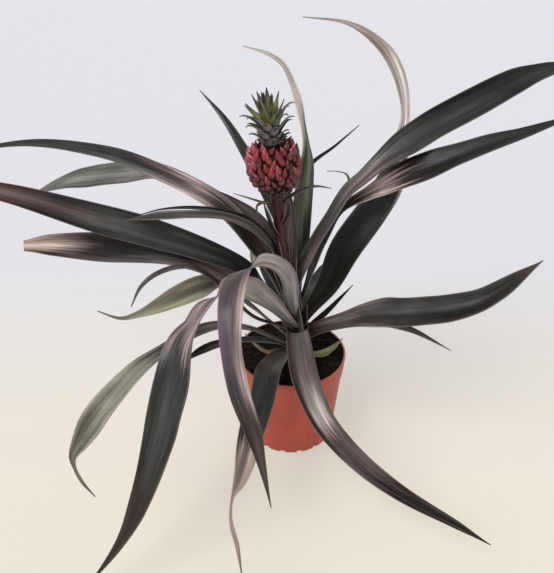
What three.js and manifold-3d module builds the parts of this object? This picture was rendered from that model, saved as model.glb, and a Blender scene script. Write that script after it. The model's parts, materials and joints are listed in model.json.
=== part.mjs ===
// A potted pineapple plant: a rosette of long channelled leaves round a leaning stalk,
// one young red fruit under its crown of leaves, and a thin nursery pot filled with peat.
// Millimetres, +Z up, origin on the floor under the middle of the pot. -Y is the front.
import * as THREE from 'three';
import { mergeVertices } from 'three/addons/utils/BufferGeometryUtils.js';
import Module from 'manifold-3d';

const wasm = await Module();
wasm.setup();

const UP = new THREE.Vector3(0, 0, 1);

// Driving dimensions
const CLEARANCE = 0.3;
const POT_HEIGHT = 108;
const POT_RIM_RADIUS = 60;
const POT_BASE_RADIUS = 49;
const POT_WALL = 1.6;
const POT_FLOOR = 2.4;
const POT_SIDES = 40;
const EDGE = 0.8;
const LIP_HEIGHT = 22;
const LIP_STEP = 1.2;
const DRAIN_SLOTS = 16;
const DRAIN_SLOT_WIDTH = 6;
const DRAIN_SLOT_HEIGHT = 3;
const PEAT_TOP = 105.5;
const BLADE_THICKNESS = 0.9;
const BLADE_CHANNEL = 0.3;
const LEAST_HALF_WIDTH = 0.8;
const FRUIT_BOTTOM = [-17, 0, 299];
const FRUIT_LENGTH = 46;
const FRUIT_RADIUS = 21.8;
const FRUITLETS = 88;
const FRUIT_LEAN = 4;
const CROWN_LEAN = 8;
const CROWN_FOOT_RADIUS = 10;
const CROWN_LEAVES = 30;
const GOLDEN_ANGLE = Math.PI * (3 - Math.sqrt(5));

// Stalk from the peat up to the fruit: middle points and the radius at each.
const STALK_LINE = [[6, 0, 66], [6, 0, 100], [5, 0, 135], [0, 0, 175], [-9, 0, 225], [-16.9, 0, 298.4]];
const STALK_RADII = [8, 9, 9, 7.5, 5.7, 5.5];

// Bracts on the stalk, written in the same way as the leaves.
const BRACTS = [
  [[-17, 0, 284, 0, 5], [-28, -5, 289, 0, 7], [-41, -8, 295, 0, 5], [-57, -11, 302, 0, 1.6]],
  [[-15, 0, 282, 0, 5], [-3, 6, 291, 0, 6], [8, 8, 297, 0, 5.5], [21, 10, 300, 0, 4],
    [37, 12, 297, 0, 1.6]],
  [[-19, 0, 287, 0, 4], [-29, -5, 290, 0, 5], [-35, -8, 287, 0, 3.5], [-34, -10, 280, 0, 1.6]],
  [[-13, -2, 262, 0, 6], [-6, -8, 277, 0, 9], [-5, -11, 288, 0, 7], [-7, -13, 297, 0, 1.6]],
  [[-13, -2, 250, 0, 6], [-21, -8, 266, 0, 9], [-25, -11, 280, 0, 8], [-29, -12, 294, 0, 1.6]],
];

const pot = new THREE.MeshStandardMaterial({ color: 0xb24a38, roughness: 0.55, metalness: 0 });
const peat = new THREE.MeshStandardMaterial({ color: 0x1c1410, roughness: 1, metalness: 0 });
const stalkRed = new THREE.MeshStandardMaterial({ color: 0x3a1c1c, roughness: 0.7, metalness: 0 });
const fruitRed = new THREE.MeshStandardMaterial({ color: 0x9c2a30, roughness: 0.4, metalness: 0 });
const crownGreen = new THREE.MeshStandardMaterial({ color: 0x55584a, roughness: 0.7, metalness: 0 });
const bladeDark = new THREE.MeshStandardMaterial({ color: 0x2c302b, roughness: 0.5, metalness: 0 });
const bladePurple = new THREE.MeshStandardMaterial({ color: 0x5b4c58, roughness: 0.5, metalness: 0 });
const bladePale = new THREE.MeshStandardMaterial({ color: 0x85877a, roughness: 0.6, metalness: 0 });
const bladeDry = new THREE.MeshStandardMaterial({ color: 0xa78358, roughness: 0.9, metalness: 0 });

// The leaves, lowest first. Each is a line of points from the stalk to the tip along the middle
// of the blade. A point has its place, how far the blade is rolled there, in degrees, and how
// wide the blade is there. A positive roll turns the right edge down, looking outward along it.
const LEAVES = [
  { name: 'leaf_stub_right', skin: bladePale, line: [
    [8, -2, 111, 0, 4], [22, -11, 112, 0, 8], [35, -12, 114, 20, 9], [46, -12, 123, 20, 6],
    [54, -14, 136, 20, 1.6]] },
  { name: 'leaf_stub_left', skin: bladeDry, line: [
    [5, -3, 113, 0, 3], [-12, -6, 113, 0, 7], [-27, -10, 114, 0, 6.5], [-39, -7, 121, 0, 5],
    [-51, -5, 136, 0, 1.6]] },
  { name: 'leaf_front_hanging', skin: bladeDark, line: [
    [6, -2, 112, 0, 10], [-1, -12, 121, 0, 13], [-14, -30, 123, 0, 22], [-25, -68, 133, 0, 26],
    [-30, -98, 126, 0, 25], [-39, -130, 118, -20, 24], [-46, -158, 104, -50, 22],
    [-51, -174, 94, -60, 15], [-56, -183, 86, -70, 5.6], [-57, -197, 75, -80, 7],
    [-51, -210, 55, -80, 7.2], [-47, -219, 26, -80, 1.6]] },
  { name: 'leaf_low_left', skin: bladeDark, line: [
    [5, -2, 112, 0, 6.5], [-17, -16, 132, 0, 12], [-49, -36, 150, 0, 11], [-76, -54, 158, 0, 12],
    [-93, -66, 158, -20, 7.7], [-106, -76, 154, -20, 1.6]] },
  { name: 'leaf_right_under', skin: bladeDark, line: [
    [6, 1, 110, 0, 7.2], [20, 3, 127, 10, 9], [41, 4, 139, 20, 12], [69, 6, 144, 20, 12],
    [100, 7, 141, 20, 11], [132, 4, 133, 20, 7.8], [175, -6, 113, 20, 1.6]] },
  { name: 'leaf_left_pale_low', skin: bladePale, line: [
    [6, -2, 113, 0, 10], [-12, -15, 133, 0, 12], [-50, -44, 172, 0, 14], [-82, -67, 188, 0, 16],
    [-121, -98, 184, 0, 16], [-142, -115, 176, -10, 20], [-169, -138, 155, -20, 24],
    [-182, -147, 139, -20, 25], [-192, -155, 124, -20, 17], [-197, -163, 116, -20, 8],
    [-195, -169, 110, -20, 3.4], [-187, -179, 103, -20, 3], [-174, -189, 95, -20, 1.6]] },
  { name: 'leaf_back_low_left', skin: bladeDark, line: [
    [5, 2, 116, 0, 10], [-4, 22, 137, 0, 16], [-20, 62, 165, 0, 24], [-34, 108, 172, 0, 20],
    [-44, 152, 146, 0, 13], [-50, 188, 98, 0, 1.6]] },
  { name: 'leaf_right_wavy', skin: bladePurple, line: [
    [5, 0, 119, 0, 12], [22, -4, 138, 20, 16], [56, -9, 156, 30, 20], [91, -14, 168, 33, 32],
    [113, -19, 172, 35, 32], [159, -27, 183, 35, 30], [184, -31, 194, 35, 25],
    [197, -33, 204, 35, 22], [208, -35, 215, 33, 19], [218, -37, 227, 30, 13],
    [235, -39, 246, 30, 1.6]] },
  { name: 'leaf_left_curled', skin: bladePale, line: [
    [4, -1, 120, 0, 9], [-16, -8, 146, 0, 9], [-47, -24, 189, -20, 9], [-69, -37, 219, -50, 6.8],
    [-84, -53, 227, -60, 21], [-95, -60, 227, -60, 23], [-108, -68, 225, -60, 21],
    [-125, -77, 220, -55, 14], [-140, -85, 217, -50, 6.8], [-155, -94, 218, -40, 3],
    [-172, -103, 232, -20, 1.6]] },
  { name: 'leaf_back_low_right', skin: bladeDark, line: [
    [4, 2, 130, 0, 10], [13, 22, 146, 0, 16], [30, 62, 154, 0, 24], [48, 108, 152, 0, 20],
    [54, 150, 130, 0, 12], [58, 184, 92, 0, 1.6]] },
  { name: 'leaf_front_right', skin: bladePurple, line: [
    [5, 0, 130, 0, 18], [5, -14, 144, 0, 22], [7, -42, 144, 0, 26], [12, -78, 134, 0, 27],
    [29, -110, 108, 0, 23], [61, -131, 78, 0, 20], [101, -152, 56, 0, 15], [152, -177, 41, 0, 7.4],
    [180, -192, 33, 0, 1.6]] },
  { name: 'leaf_left_narrow', skin: bladePurple, line: [
    [4, -1, 132, 0, 3.6], [-12, -16, 153, 0, 5.6], [-42, -39, 183, -20, 8], [-66, -48, 220, -40, 8],
    [-94, -66, 255, -40, 5.5], [-118, -84, 260, -20, 5.2], [-133, -94, 252, 0, 5.2],
    [-143, -101, 235, 0, 1.6]] },
  { name: 'leaf_right_slim', skin: bladeDark, line: [
    [6, 1, 122, 20, 3.2], [22, 9, 136, 20, 7.5], [40, 19, 149, 20, 6.2], [54, 28, 160, 20, 3.7],
    [68, 36, 172, 20, 1.6]] },
  { name: 'leaf_left_blunt', skin: bladePurple, line: [
    [4, 0, 134, 0, 15], [-12, -4, 156, 0, 14], [-50, -11, 198, -20, 21], [-80, -15, 223, -40, 20],
    [-120, -20, 243, -50, 24], [-181, -34, 257, -50, 28], [-226, -42, 264, -50, 20],
    [-247, -49, 267, -50, 10]] },
  { name: 'leaf_left_front_broad', skin: bladeDark, line: [
    [5, -1, 138, 0, 15], [-4, -15, 160, 20, 15], [-31, -37, 203, 40, 27], [-50, -67, 234, 54, 28],
    [-65, -77, 238, 60, 29], [-76, -91, 234, 27, 32], [-87, -113, 227, 27, 32],
    [-98, -126, 213, 4, 34], [-105, -142, 186, -18, 34], [-112, -153, 162, -15, 34],
    [-118, -162, 138, -10, 33], [-140, -188, 77, -5, 21], [-156, -204, 50, 0, 10],
    [-185, -222, 16, 0, 1.6]] },
  { name: 'leaf_right_back_broad', skin: bladeDark, line: [
    [5, 1, 138, 0, 15], [18, 10, 154, 0, 16], [39, 27, 176, 20, 25], [57, 45, 210, 30, 34],
    [89, 71, 247, 35, 34], [111, 107, 264, 30, 31], [121, 123, 297, 20, 20], [124, 127, 333, 10, 10],
    [117, 121, 365, 0, 14], [106, 115, 389, 0, 17], [93, 111, 407, 0, 17], [55, 85, 434, 0, 9],
    [7, 55, 445, 0, 1.6]] },
  { name: 'leaf_left_broad', skin: bladeDark, line: [
    [4, 0, 144, 0, 14], [-10, -2, 164, 0, 17], [-30, -7, 196, 0, 26], [-52, -11, 223, -40, 20],
    [-92, -17, 247, -60, 23], [-137, -24, 268, -60, 28], [-180, -32, 286, -60, 27],
    [-257, -46, 319, -60, 16], [-290, -52, 327, -55, 9], [-322, -57, 324, -50, 1.6]] },
  { name: 'leaf_front_arch', skin: bladePurple, line: [
    [4, 0, 147, 0, 16], [-1, -13, 180, 0, 16], [-4, -27, 216, 15, 17], [-13, -43, 242, 35, 17],
    [-30, -61, 258, 50, 17], [-47, -89, 262, 15, 27], [-53, -123, 256, 8, 25],
    [-53, -150, 230, 0, 19], [-46, -171, 200, 0, 19], [-35, -187, 171, 0, 15],
    [-29, -196, 147, 0, 8], [-21, -210, 107, 0, 1.6]] },
  { name: 'leaf_back_slim', skin: bladeDark, line: [
    [3, 1, 150, 0, 3.6], [7, 20, 170, 0, 5.5], [10, 52, 218, 0, 8], [12, 76, 256, 0, 6.7],
    [18, 88, 288, 0, 4.8], [47, 106, 306, 0, 2.7], [74, 124, 323, 0, 1.6]] },
  { name: 'leaf_left_back_pale', skin: bladePale, line: [
    [2, 1, 154, 0, 12], [-8, 8, 174, 0, 14], [-30, 22, 224, 0, 23], [-54, 34, 257, -10, 19],
    [-91, 50, 277, -20, 17], [-138, 68, 291, -25, 19], [-172, 76, 287, -25, 27],
    [-198, 85, 281, -25, 28], [-221, 95, 274, -23, 29], [-244, 104, 267, -20, 25],
    [-278, 121, 251, -10, 17], [-304, 131, 238, 0, 1.6]] },
  { name: 'leaf_left_long', skin: bladePurple, line: [
    [2, 0, 158, 0, 13], [-9, 2, 178, 0, 13], [-33, 6, 228, -20, 20], [-71, 10, 279, -20, 24],
    [-114, 15, 304, -20, 22], [-173, 22, 327, -15, 19], [-243, 31, 335, -10, 14],
    [-284, 36, 331, -5, 10], [-328, 41, 320.5, 0, 5.7], [-371, 46, 302, 0, 1.6]] },
  { name: 'leaf_right_striped', skin: bladePurple, line: [
    [3, 1, 158, 0, 11], [15, 3, 190, 0, 14], [28, 4, 243, 10, 26], [46, 9, 275, 20, 11],
    [72, 8, 293, 25, 16], [88, 8, 302, 25, 24], [110, 10, 313, 25, 31], [131, 10, 322, 25, 31],
    [153, 9, 332, 25, 25], [181, 9, 343, 25, 20], [208, 9, 352, 25, 13], [237, 11, 362, 25, 6.3],
    [258, 13, 368, 20, 1.6]] },
  { name: 'leaf_back_tall', skin: bladeDark, line: [
    [2, 2, 166, 0, 7.2], [5, 18, 190, 0, 11], [8, 32, 214, 0, 18], [11, 48, 266, 0, 20],
    [14, 56, 306, -10, 16], [13, 61, 325, -30, 10], [10, 64, 344, -45, 10], [4, 55, 373, -35, 11],
    [-2, 55, 389, -30, 8], [-9, 52, 403, -30, 6.6], [-22, 39, 416, -30, 7.6], [-46, 20, 427, -30, 1.6]] },
  { name: 'leaf_right_high', skin: bladeDark, line: [
    [0, 0, 172, 0, 11], [10, -1, 205, 0, 14], [25, -1, 247, 10, 23], [51, 6, 294, 10, 23],
    [67, 8, 310, 20, 20], [84, 13, 325, 35, 21], [105, 20, 339, 45, 29], [134, 30, 355, 50, 30],
    [173, 38, 374, 50, 30], [207, 46, 390, 50, 26], [227, 49, 397, 50, 18], [245, 52, 401, 50, 12],
    [270, 59, 401, 50, 1.6]] },
  { name: 'leaf_left_slim_low', skin: bladePale, line: [
    [-1, -1, 176, 0, 5.2], [-10, -5, 200, -10, 7.9], [-23, -9, 246, -25, 11],
    [-43, -13, 269, -32, 12], [-66, -15, 280, -32, 10], [-97, -19, 284, -32, 10],
    [-125, -22, 284, -32, 11], [-156, -28, 283, -32, 1.6]] },
  { name: 'leaf_left_short', skin: bladePurple, line: [
    [-1, 1, 182, 0, 10], [-9, 7, 206, 0, 15], [-20, 12, 236, -20, 17], [-38, 18, 263, -30, 13],
    [-60, 25, 278, -30, 7], [-82, 29, 290, -30, 1.6]] },
  { name: 'leaf_back_left_spear', skin: bladeDark, line: [
    [-1, 1, 198, 0, 3.8], [-1, 20, 219, 0, 6.6], [-20, 52, 260, 0, 14], [-49, 100, 298, 0, 12],
    [-75, 150, 321, 0, 7.7], [-109, 214, 337, 0, 1.6]] },
  { name: 'leaf_right_hooked', skin: bladeDark, line: [
    [0, 3, 194, 0, 3.6], [10, 15, 216, 0, 6.9], [26, 24, 244, 0, 8], [46, 34, 274, 0, 5.9],
    [57, 40, 289, 0, 4.2], [54, 40, 300, 0, 2.9], [45, 38, 304, 0, 1.7], [33, 34, 306, 0, 1.6]] },
  { name: 'leaf_left_slim_high', skin: bladeDark, line: [
    [-2, 0, 188, 0, 3.6], [-10, 2, 211, 0, 5.6], [-22, 4, 243, 0, 8], [-43, 1, 268, 0, 7.5],
    [-70, -3, 280, 0, 6.1], [-100, -10, 287, 0, 4.1], [-126, -12, 286, 0, 1.9],
    [-144, -14, 282, 0, 1.6]] },
  { name: 'leaf_inner_back', skin: bladePurple, line: [
    [-3, 1, 206, 0, 8], [-1, 12, 225, 0, 12], [-3, 26, 250, 0, 14], [-6, 38, 272, 0, 12],
    [-11, 45, 296, 0, 7.9], [-16, 52, 328, 0, 1.6]] },
];

// Points of a mesh as a closed solid, and a solid as geometry for a mesh.
function solidOf(geometry) {
  const bare = geometry.clone();
  bare.deleteAttribute('normal');
  bare.deleteAttribute('uv');
  const merged = mergeVertices(bare, 0.0001);
  return new wasm.Manifold(new wasm.Mesh({
    numProp: 3,
    vertProperties: new Float32Array(merged.attributes.position.array),
    triVerts: new Uint32Array(merged.index.array),
  }));
}

function geometryOf(solid) {
  const mesh = solid.getMesh();
  const geometry = new THREE.BufferGeometry();
  geometry.setAttribute('position', new THREE.BufferAttribute(mesh.vertProperties, 3));
  geometry.setIndex(new THREE.BufferAttribute(mesh.triVerts, 1));
  geometry.computeVertexNormals();
  return geometry;
}

// Of what a cut leaves, the piece that is the object; a loose scrap is dropped.
function largestPart(solid) {
  return solid.decompose().reduce((best, piece) => (piece.volume() > best.volume() ? piece : best));
}

function mixed(from, to, share) {
  return from + (to - from) * share;
}

function eased(share) {
  const held = Math.min(Math.max(share, 0), 1);
  return held * held * (3 - 2 * held);
}

// A value that runs smoothly through the one at each point of a line.
function smoothed(values, knot) {
  const near = Math.min(Math.floor(knot), values.length - 2);
  const share = knot - near;
  const held = (i) => values[Math.min(Math.max(i, 0), values.length - 1)];
  const [before, from, to, after] = [held(near - 1), held(near), held(near + 1), held(near + 2)];
  const setOut = (to - before) / 2;
  const comeIn = (after - from) / 2;
  const square = 3 * (to - from) - 2 * setOut - comeIn;
  const cube = 2 * (from - to) + setOut + comeIn;
  return from + setOut * share + square * share ** 2 + cube * share ** 3;
}

// A round solid along a line: a ring of points at each station, closed at both ends.
function roundLoft(points, radii, sides) {
  const positions = [];
  const indices = [];
  points.forEach((point, i) => {
    const before = points[Math.max(i - 1, 0)];
    const after = points[Math.min(i + 1, points.length - 1)];
    const along = after.clone().sub(before).normalize();
    const across = new THREE.Vector3(1, 0, 0).cross(along).normalize();
    const over = along.clone().cross(across);
    for (let k = 0; k < sides; k += 1) {
      const turn = (2 * Math.PI * k) / sides;
      const spot = point.clone()
        .addScaledVector(across, radii[i] * Math.cos(turn))
        .addScaledVector(over, radii[i] * Math.sin(turn));
      positions.push(spot.x, spot.y, spot.z);
    }
  });
  const last = (points.length - 1) * sides;
  for (let i = 0; i < last; i += sides) {
    for (let k = 0; k < sides; k += 1) {
      const next = (k + 1) % sides;
      indices.push(i + k, i + next, i + sides + next, i + k, i + sides + next, i + sides + k);
    }
  }
  for (let k = 1; k < sides - 1; k += 1) {
    indices.push(0, k + 1, k, last, last + k, last + k + 1);
  }
  const geometry = new THREE.BufferGeometry();
  geometry.setAttribute('position', new THREE.Float32BufferAttribute(positions, 3));
  geometry.setIndex(indices);
  return geometry;
}

// Directions along a line that turn no more than the line itself does: the blade's side
// and its upper face start square to the root and are carried from station to station.
function carriedFrames(curve, stations) {
  const root = curve.getPointAt(0);
  const outward = curve.getPointAt(0.25).sub(root).setZ(0).normalize();
  let side = new THREE.Vector3(outward.y, -outward.x, 0);
  const frames = [];
  for (let i = 0; i < stations; i += 1) {
    const share = i / (stations - 1);
    const along = curve.getTangentAt(share);
    side = side.clone().addScaledVector(along, -side.dot(along)).normalize();
    const knot = curve.getUtoTmapping(share) * (curve.points.length - 1);
    frames.push({ knot, at: curve.getPointAt(share), along, side, top: side.clone().cross(along) });
  }
  return frames;
}

// A channelled blade: three points across its upper face and three below them.
function blade(line, stationStep = 21, fewest = 6) {
  const curve = new THREE.CatmullRomCurve3(line.map(([x, y, z]) => new THREE.Vector3(x, y, z)));
  const stations = Math.min(Math.max(Math.round(curve.getLength() / stationStep) + 1, fewest), 22);
  const positions = [];
  const indices = [];
  const rolls = line.map(([, , , roll]) => THREE.MathUtils.degToRad(roll));
  const widths = line.map(([, , , , width]) => width);
  for (const { knot, at, along, side, top } of carriedFrames(curve, stations)) {
    const roll = smoothed(rolls, knot);
    const across = side.clone().applyAxisAngle(along, roll);
    const over = top.clone().applyAxisAngle(along, roll);
    const half = Math.max(smoothed(widths, knot) / 2, LEAST_HALF_WIDTH);
    const rise = BLADE_CHANNEL * half;
    for (const face of [1, -1]) {
      for (const reach of [-1, 0, 1]) {
        const lift = rise * (Math.abs(reach) - 0.5) + (face * BLADE_THICKNESS) / 2;
        const spot = at.clone().addScaledVector(across, reach * half).addScaledVector(over, lift);
        positions.push(spot.x, spot.y, spot.z);
      }
    }
  }
  const ring = 6;
  const last = (stations - 1) * ring;
  const quad = (a, b, c, d) => indices.push(a, b, c, a, c, d);
  for (let i = 0; i < last; i += ring) {
    for (const [near, far] of [[0, 1], [1, 2]]) {
      quad(i + near, i + far, i + ring + far, i + ring + near);
      indices.push(i + near + 3, i + ring + far + 3, i + far + 3);
      indices.push(i + near + 3, i + ring + near + 3, i + ring + far + 3);
    }
    quad(i + 3, i, i + ring, i + ring + 3);
    quad(i + 2, i + 5, i + ring + 5, i + ring + 2);
  }
  quad(0, 3, 4, 1);
  quad(1, 4, 5, 2);
  quad(last, last + 1, last + 4, last + 3);
  quad(last + 1, last + 2, last + 5, last + 4);
  const geometry = new THREE.BufferGeometry();
  geometry.setAttribute('position', new THREE.Float32BufferAttribute(positions, 3));
  geometry.setIndex(indices);
  return geometry;
}

// The stalk, and the room that it takes from whatever grows round it.
function stalkSolid(extra) {
  const curve = new THREE.CatmullRomCurve3(STALK_LINE.map((point) => new THREE.Vector3(...point)));
  const steps = 16;
  const points = [];
  const radii = [];
  for (let i = 0; i <= steps; i += 1) {
    const knot = (i / steps) * (STALK_RADII.length - 1);
    const near = Math.min(Math.floor(knot), STALK_RADII.length - 2);
    points.push(curve.getPoint(i / steps));
    radii.push(mixed(STALK_RADII[near], STALK_RADII[near + 1], knot - near) + extra);
  }
  points[0].z -= extra;
  return solidOf(roundLoft(points, radii, 12));
}

const group = new THREE.Group();
group.name = 'potted_pineapple_plant';

function addPiece(name, geometry, material) {
  const mesh = new THREE.Mesh(geometry, material);
  mesh.name = name;
  group.add(mesh);
}

// Thin pot with a lip round its rim and drain slots round its foot.
function potRadius(height) {
  return mixed(POT_BASE_RADIUS, POT_RIM_RADIUS - LIP_STEP, height / POT_HEIGHT);
}

function lathed(profile, sides) {
  const outline = profile.map(([x, y]) => new THREE.Vector2(x, y));
  return new THREE.LatheGeometry(outline, sides).rotateX(Math.PI / 2);
}

function potSolid() {
  const lipFoot = POT_HEIGHT - LIP_HEIGHT;
  const shell = lathed([
    [0, 0], [POT_BASE_RADIUS - EDGE, 0], [potRadius(EDGE), EDGE], [potRadius(lipFoot), lipFoot],
    [potRadius(lipFoot) + LIP_STEP, lipFoot + EDGE], [POT_RIM_RADIUS, POT_HEIGHT - EDGE],
    [POT_RIM_RADIUS - EDGE, POT_HEIGHT], [potRadius(POT_HEIGHT) - POT_WALL, POT_HEIGHT],
    [potRadius(POT_FLOOR) - POT_WALL, POT_FLOOR], [0, POT_FLOOR],
  ], POT_SIDES);
  const slots = [];
  for (let k = 0; k < DRAIN_SLOTS; k += 1) {
    const slot = new THREE.BoxGeometry(4 * POT_WALL, DRAIN_SLOT_WIDTH, 2 * DRAIN_SLOT_HEIGHT);
    slot.translate(POT_BASE_RADIUS, 0, 0);
    slot.rotateZ((2 * Math.PI * (k + 0.5)) / DRAIN_SLOTS);
    slots.push(solidOf(slot));
  }
  return solidOf(shell).subtract(wasm.Manifold.union(slots));
}

// Peat fills the pot to just under its rim, with a lumpy top and a hole where the stalk stands.
function peatSolid() {
  const foot = POT_FLOOR + CLEARANCE;
  const inside = (height) => potRadius(height) - POT_WALL - CLEARANCE;
  const profile = [[0, foot], [inside(foot), foot]];
  for (const share of [1, 0.86, 0.68, 0.48, 0.26]) {
    profile.push([share * inside(PEAT_TOP), PEAT_TOP]);
  }
  profile.push([0, PEAT_TOP]);
  const body = lathed(profile, POT_SIDES);
  const spots = body.attributes.position;
  for (let i = 0; i < spots.count; i += 1) {
    const [x, y] = [spots.getX(i), spots.getY(i)];
    const inner = Math.hypot(x, y) < 0.9 * inside(PEAT_TOP);
    if (spots.getZ(i) > PEAT_TOP - 1 && inner) {
      spots.setZ(i, PEAT_TOP + 1.4 * Math.sin(0.31 * x + 1) * Math.cos(0.27 * y) - 0.6);
    }
  }
  return solidOf(body).subtract(stalkRoom);
}

// The fruit, upright at the origin: a barrel set with pointed fruitlets in golden-angle order.
function fruitSolid() {
  const barrel = [[0, 0], [8, 0], [14.5, 3.5], [18.5, 10], [FRUIT_RADIUS, 21], [FRUIT_RADIUS + 0.5, 32],
    [20.5, 39.5], [15, FRUIT_LENGTH], [0, FRUIT_LENGTH]];
  const radiusAt = (height) => {
    const above = barrel.findIndex(([, level], i) => i > 1 && level >= height);
    const [[low, from], [high, to]] = [barrel[above - 1], barrel[above]];
    return mixed(low, high, (height - from) / (to - from));
  };
  const parts = [solidOf(lathed(barrel, 24))];
  for (let k = 0; k < FRUITLETS; k += 1) {
    const share = (k + 0.5) / FRUITLETS;
    const height = mixed(3.5, FRUIT_LENGTH - 1.5, share);
    const size = mixed(0.7, 1, eased(3 * share));
    const turn = k * GOLDEN_ANGLE;
    const spot = (out, up) => new THREE.Vector3(radiusAt(height) + out, 0, height + up)
      .applyAxisAngle(UP, turn);
    parts.push(solidOf(roundLoft([
      spot(-1.5, -4.5 * size), spot(0.8, -size), spot(3, 6.5 * size),
    ], [2.2 * size, 4.4 * size, 0.5], 4)));
  }
  return wasm.Manifold.union(parts);
}

// A crown leaf: how far out it is, how high, and how wide, each as a share of its most.
const CROWN_LEAF = [[0, 0, 1], [0.35, 0.55, 0.72], [0.7, 0.93, 0.4], [1, 1, 0]];

// The crown, upright at the origin: short leaves in golden-angle order round a slim heart,
// arching outward low down and standing nearly upright at the top.
function crownSolid() {
  const heart = [[0, 0], [CROWN_FOOT_RADIUS, 0], [9, 8], [5, 24], [3, 30], [0, 30]];
  const parts = [solidOf(lathed(heart, 12))];
  for (let k = 0; k < CROWN_LEAVES; k += 1) {
    const share = k / (CROWN_LEAVES - 1);
    const root = mixed(2, 24.6, share);
    const start = mixed(8.5, 3, share);
    const climb = mixed(8, 27, share);
    const reach = share < 0.6 ? mixed(20, 27, share / 0.6) : mixed(27, 6, (share - 0.6) / 0.4);
    const turn = k * GOLDEN_ANGLE;
    const line = CROWN_LEAF.map(([outShare, up, widthShare]) => {
      const out = mixed(start, reach, outShare);
      const width = widthShare * mixed(12.5, 9, share);
      return [out * Math.cos(turn), out * Math.sin(turn), root + up * climb, 0, width];
    });
    parts.push(solidOf(blade(line, 5, 4)));
  }
  return wasm.Manifold.union(parts);
}

// Narrow bracts on the stalk under the fruit, in one piece with it.
function bractedStalk() {
  const bracts = BRACTS.map((line) => solidOf(blade(line, 8, 4)));
  return wasm.Manifold.union([stalkSolid(0), ...bracts]);
}

function leaned(geometry, lean, foot) {
  return geometry.rotateY(THREE.MathUtils.degToRad(-lean)).translate(...foot);
}

const stalkRoom = stalkSolid(CLEARANCE);
for (const leaf of LEAVES) {
  const grown = largestPart(solidOf(blade(leaf.line)).subtract(stalkRoom));
  addPiece(leaf.name, geometryOf(grown), leaf.skin);
}

const tipped = THREE.MathUtils.degToRad(CROWN_LEAN - FRUIT_LEAN);
const crownRise = FRUIT_LENGTH + CLEARANCE + CROWN_FOOT_RADIUS * Math.sin(tipped);
const crownFoot = [
  FRUIT_BOTTOM[0] - crownRise * Math.sin(THREE.MathUtils.degToRad(FRUIT_LEAN)),
  FRUIT_BOTTOM[1],
  FRUIT_BOTTOM[2] + crownRise * Math.cos(THREE.MathUtils.degToRad(FRUIT_LEAN)),
];
addPiece('pot', geometryOf(potSolid()), pot);
addPiece('peat', geometryOf(peatSolid()), peat);
addPiece('stalk', geometryOf(bractedStalk()), stalkRed);
addPiece('fruit', leaned(geometryOf(fruitSolid()), FRUIT_LEAN, FRUIT_BOTTOM), fruitRed);
addPiece('crown', leaned(geometryOf(crownSolid()), CROWN_LEAN, crownFoot), crownGreen);

export default group;
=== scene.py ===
# %% [markdown]
# # A potted pineapple plant
# A rosette of long channelled leaves stands round a leaning stalk. The stalk carries one young
# red fruit with a tuft of short leaves on top, and the whole plant grows in a thin plastic pot
# full of peat. The plant's solids were built first. Each new piece is laid over its solid, as near
# as its finer form allows, and then stands for it.

# %% Load the solids that everything is built around
import json
import math
import random

import bpy
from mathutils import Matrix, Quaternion, Vector, noise


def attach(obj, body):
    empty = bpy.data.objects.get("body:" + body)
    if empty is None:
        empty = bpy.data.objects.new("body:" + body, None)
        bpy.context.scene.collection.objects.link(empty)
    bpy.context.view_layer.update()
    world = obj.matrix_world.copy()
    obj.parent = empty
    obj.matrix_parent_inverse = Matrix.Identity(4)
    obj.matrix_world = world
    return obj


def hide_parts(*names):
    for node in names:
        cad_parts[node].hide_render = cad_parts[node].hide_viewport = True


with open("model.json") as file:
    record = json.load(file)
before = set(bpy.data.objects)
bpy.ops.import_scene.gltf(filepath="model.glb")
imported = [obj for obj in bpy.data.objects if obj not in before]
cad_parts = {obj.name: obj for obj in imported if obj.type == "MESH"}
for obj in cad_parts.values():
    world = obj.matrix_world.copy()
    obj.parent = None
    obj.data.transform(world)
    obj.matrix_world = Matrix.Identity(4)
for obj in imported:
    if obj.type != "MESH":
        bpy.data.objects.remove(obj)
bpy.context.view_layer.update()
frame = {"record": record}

MM = 0.001

# %% [markdown]
# ## Camera
# The plant is seen from a little above, from about three quarters of a metre away. The lens is
# kept as a long side of 36 mm and a focal length of 40 mm, a normal view with little stretching.

# %% Place the camera
CAMERA_PLACE = (-0.016, -0.560, 0.545)
CAMERA_DOWN = 32.2
camera_data = bpy.data.cameras.new("camera")
camera_data.sensor_fit = "VERTICAL"
camera_data.sensor_height = 36
camera_data.lens = 40
camera = bpy.data.objects.new("camera", camera_data)
camera.location = CAMERA_PLACE
camera.rotation_euler = (math.radians(90 - CAMERA_DOWN), 0, 0)
bpy.context.scene.collection.objects.link(camera)
bpy.context.scene.camera = camera
print("camera height in mm", round(CAMERA_PLACE[2] / MM))

# %% [markdown]
# ## Small tools used by every step
# Operators act on whatever is selected, so every step first selects just its own piece. Faces and
# points are picked in code by where they are. When modifiers are done they are applied, so that
# the piece is a plain mesh at the origin.

# %% Select, pick and apply
def select_only(*pieces):
    bpy.ops.object.select_all(action="DESELECT")
    for piece in pieces:
        piece.select_set(True)
    bpy.context.view_layer.objects.active = pieces[0]


def added(primitive, **settings):
    """A new piece from one of Blender's own forms, alone in the selection."""
    bpy.ops.object.select_all(action="DESELECT")
    primitive(**settings)
    return bpy.context.object


def pick_points(piece, wanted):
    """Select only the points whose place passes the test, ready for edit mode."""
    mesh = piece.data
    mesh.polygons.foreach_set("select", [False] * len(mesh.polygons))
    mesh.edges.foreach_set("select", [False] * len(mesh.edges))
    mesh.vertices.foreach_set("select", [bool(wanted(point.co)) for point in mesh.vertices])


def in_edit_mode(piece, action):
    """Run one operator, or a few, on what is picked."""
    select_only(piece)
    bpy.ops.object.mode_set(mode="EDIT")
    bpy.ops.mesh.select_mode(type="VERT")
    action()
    bpy.ops.object.mode_set(mode="OBJECT")


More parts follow.
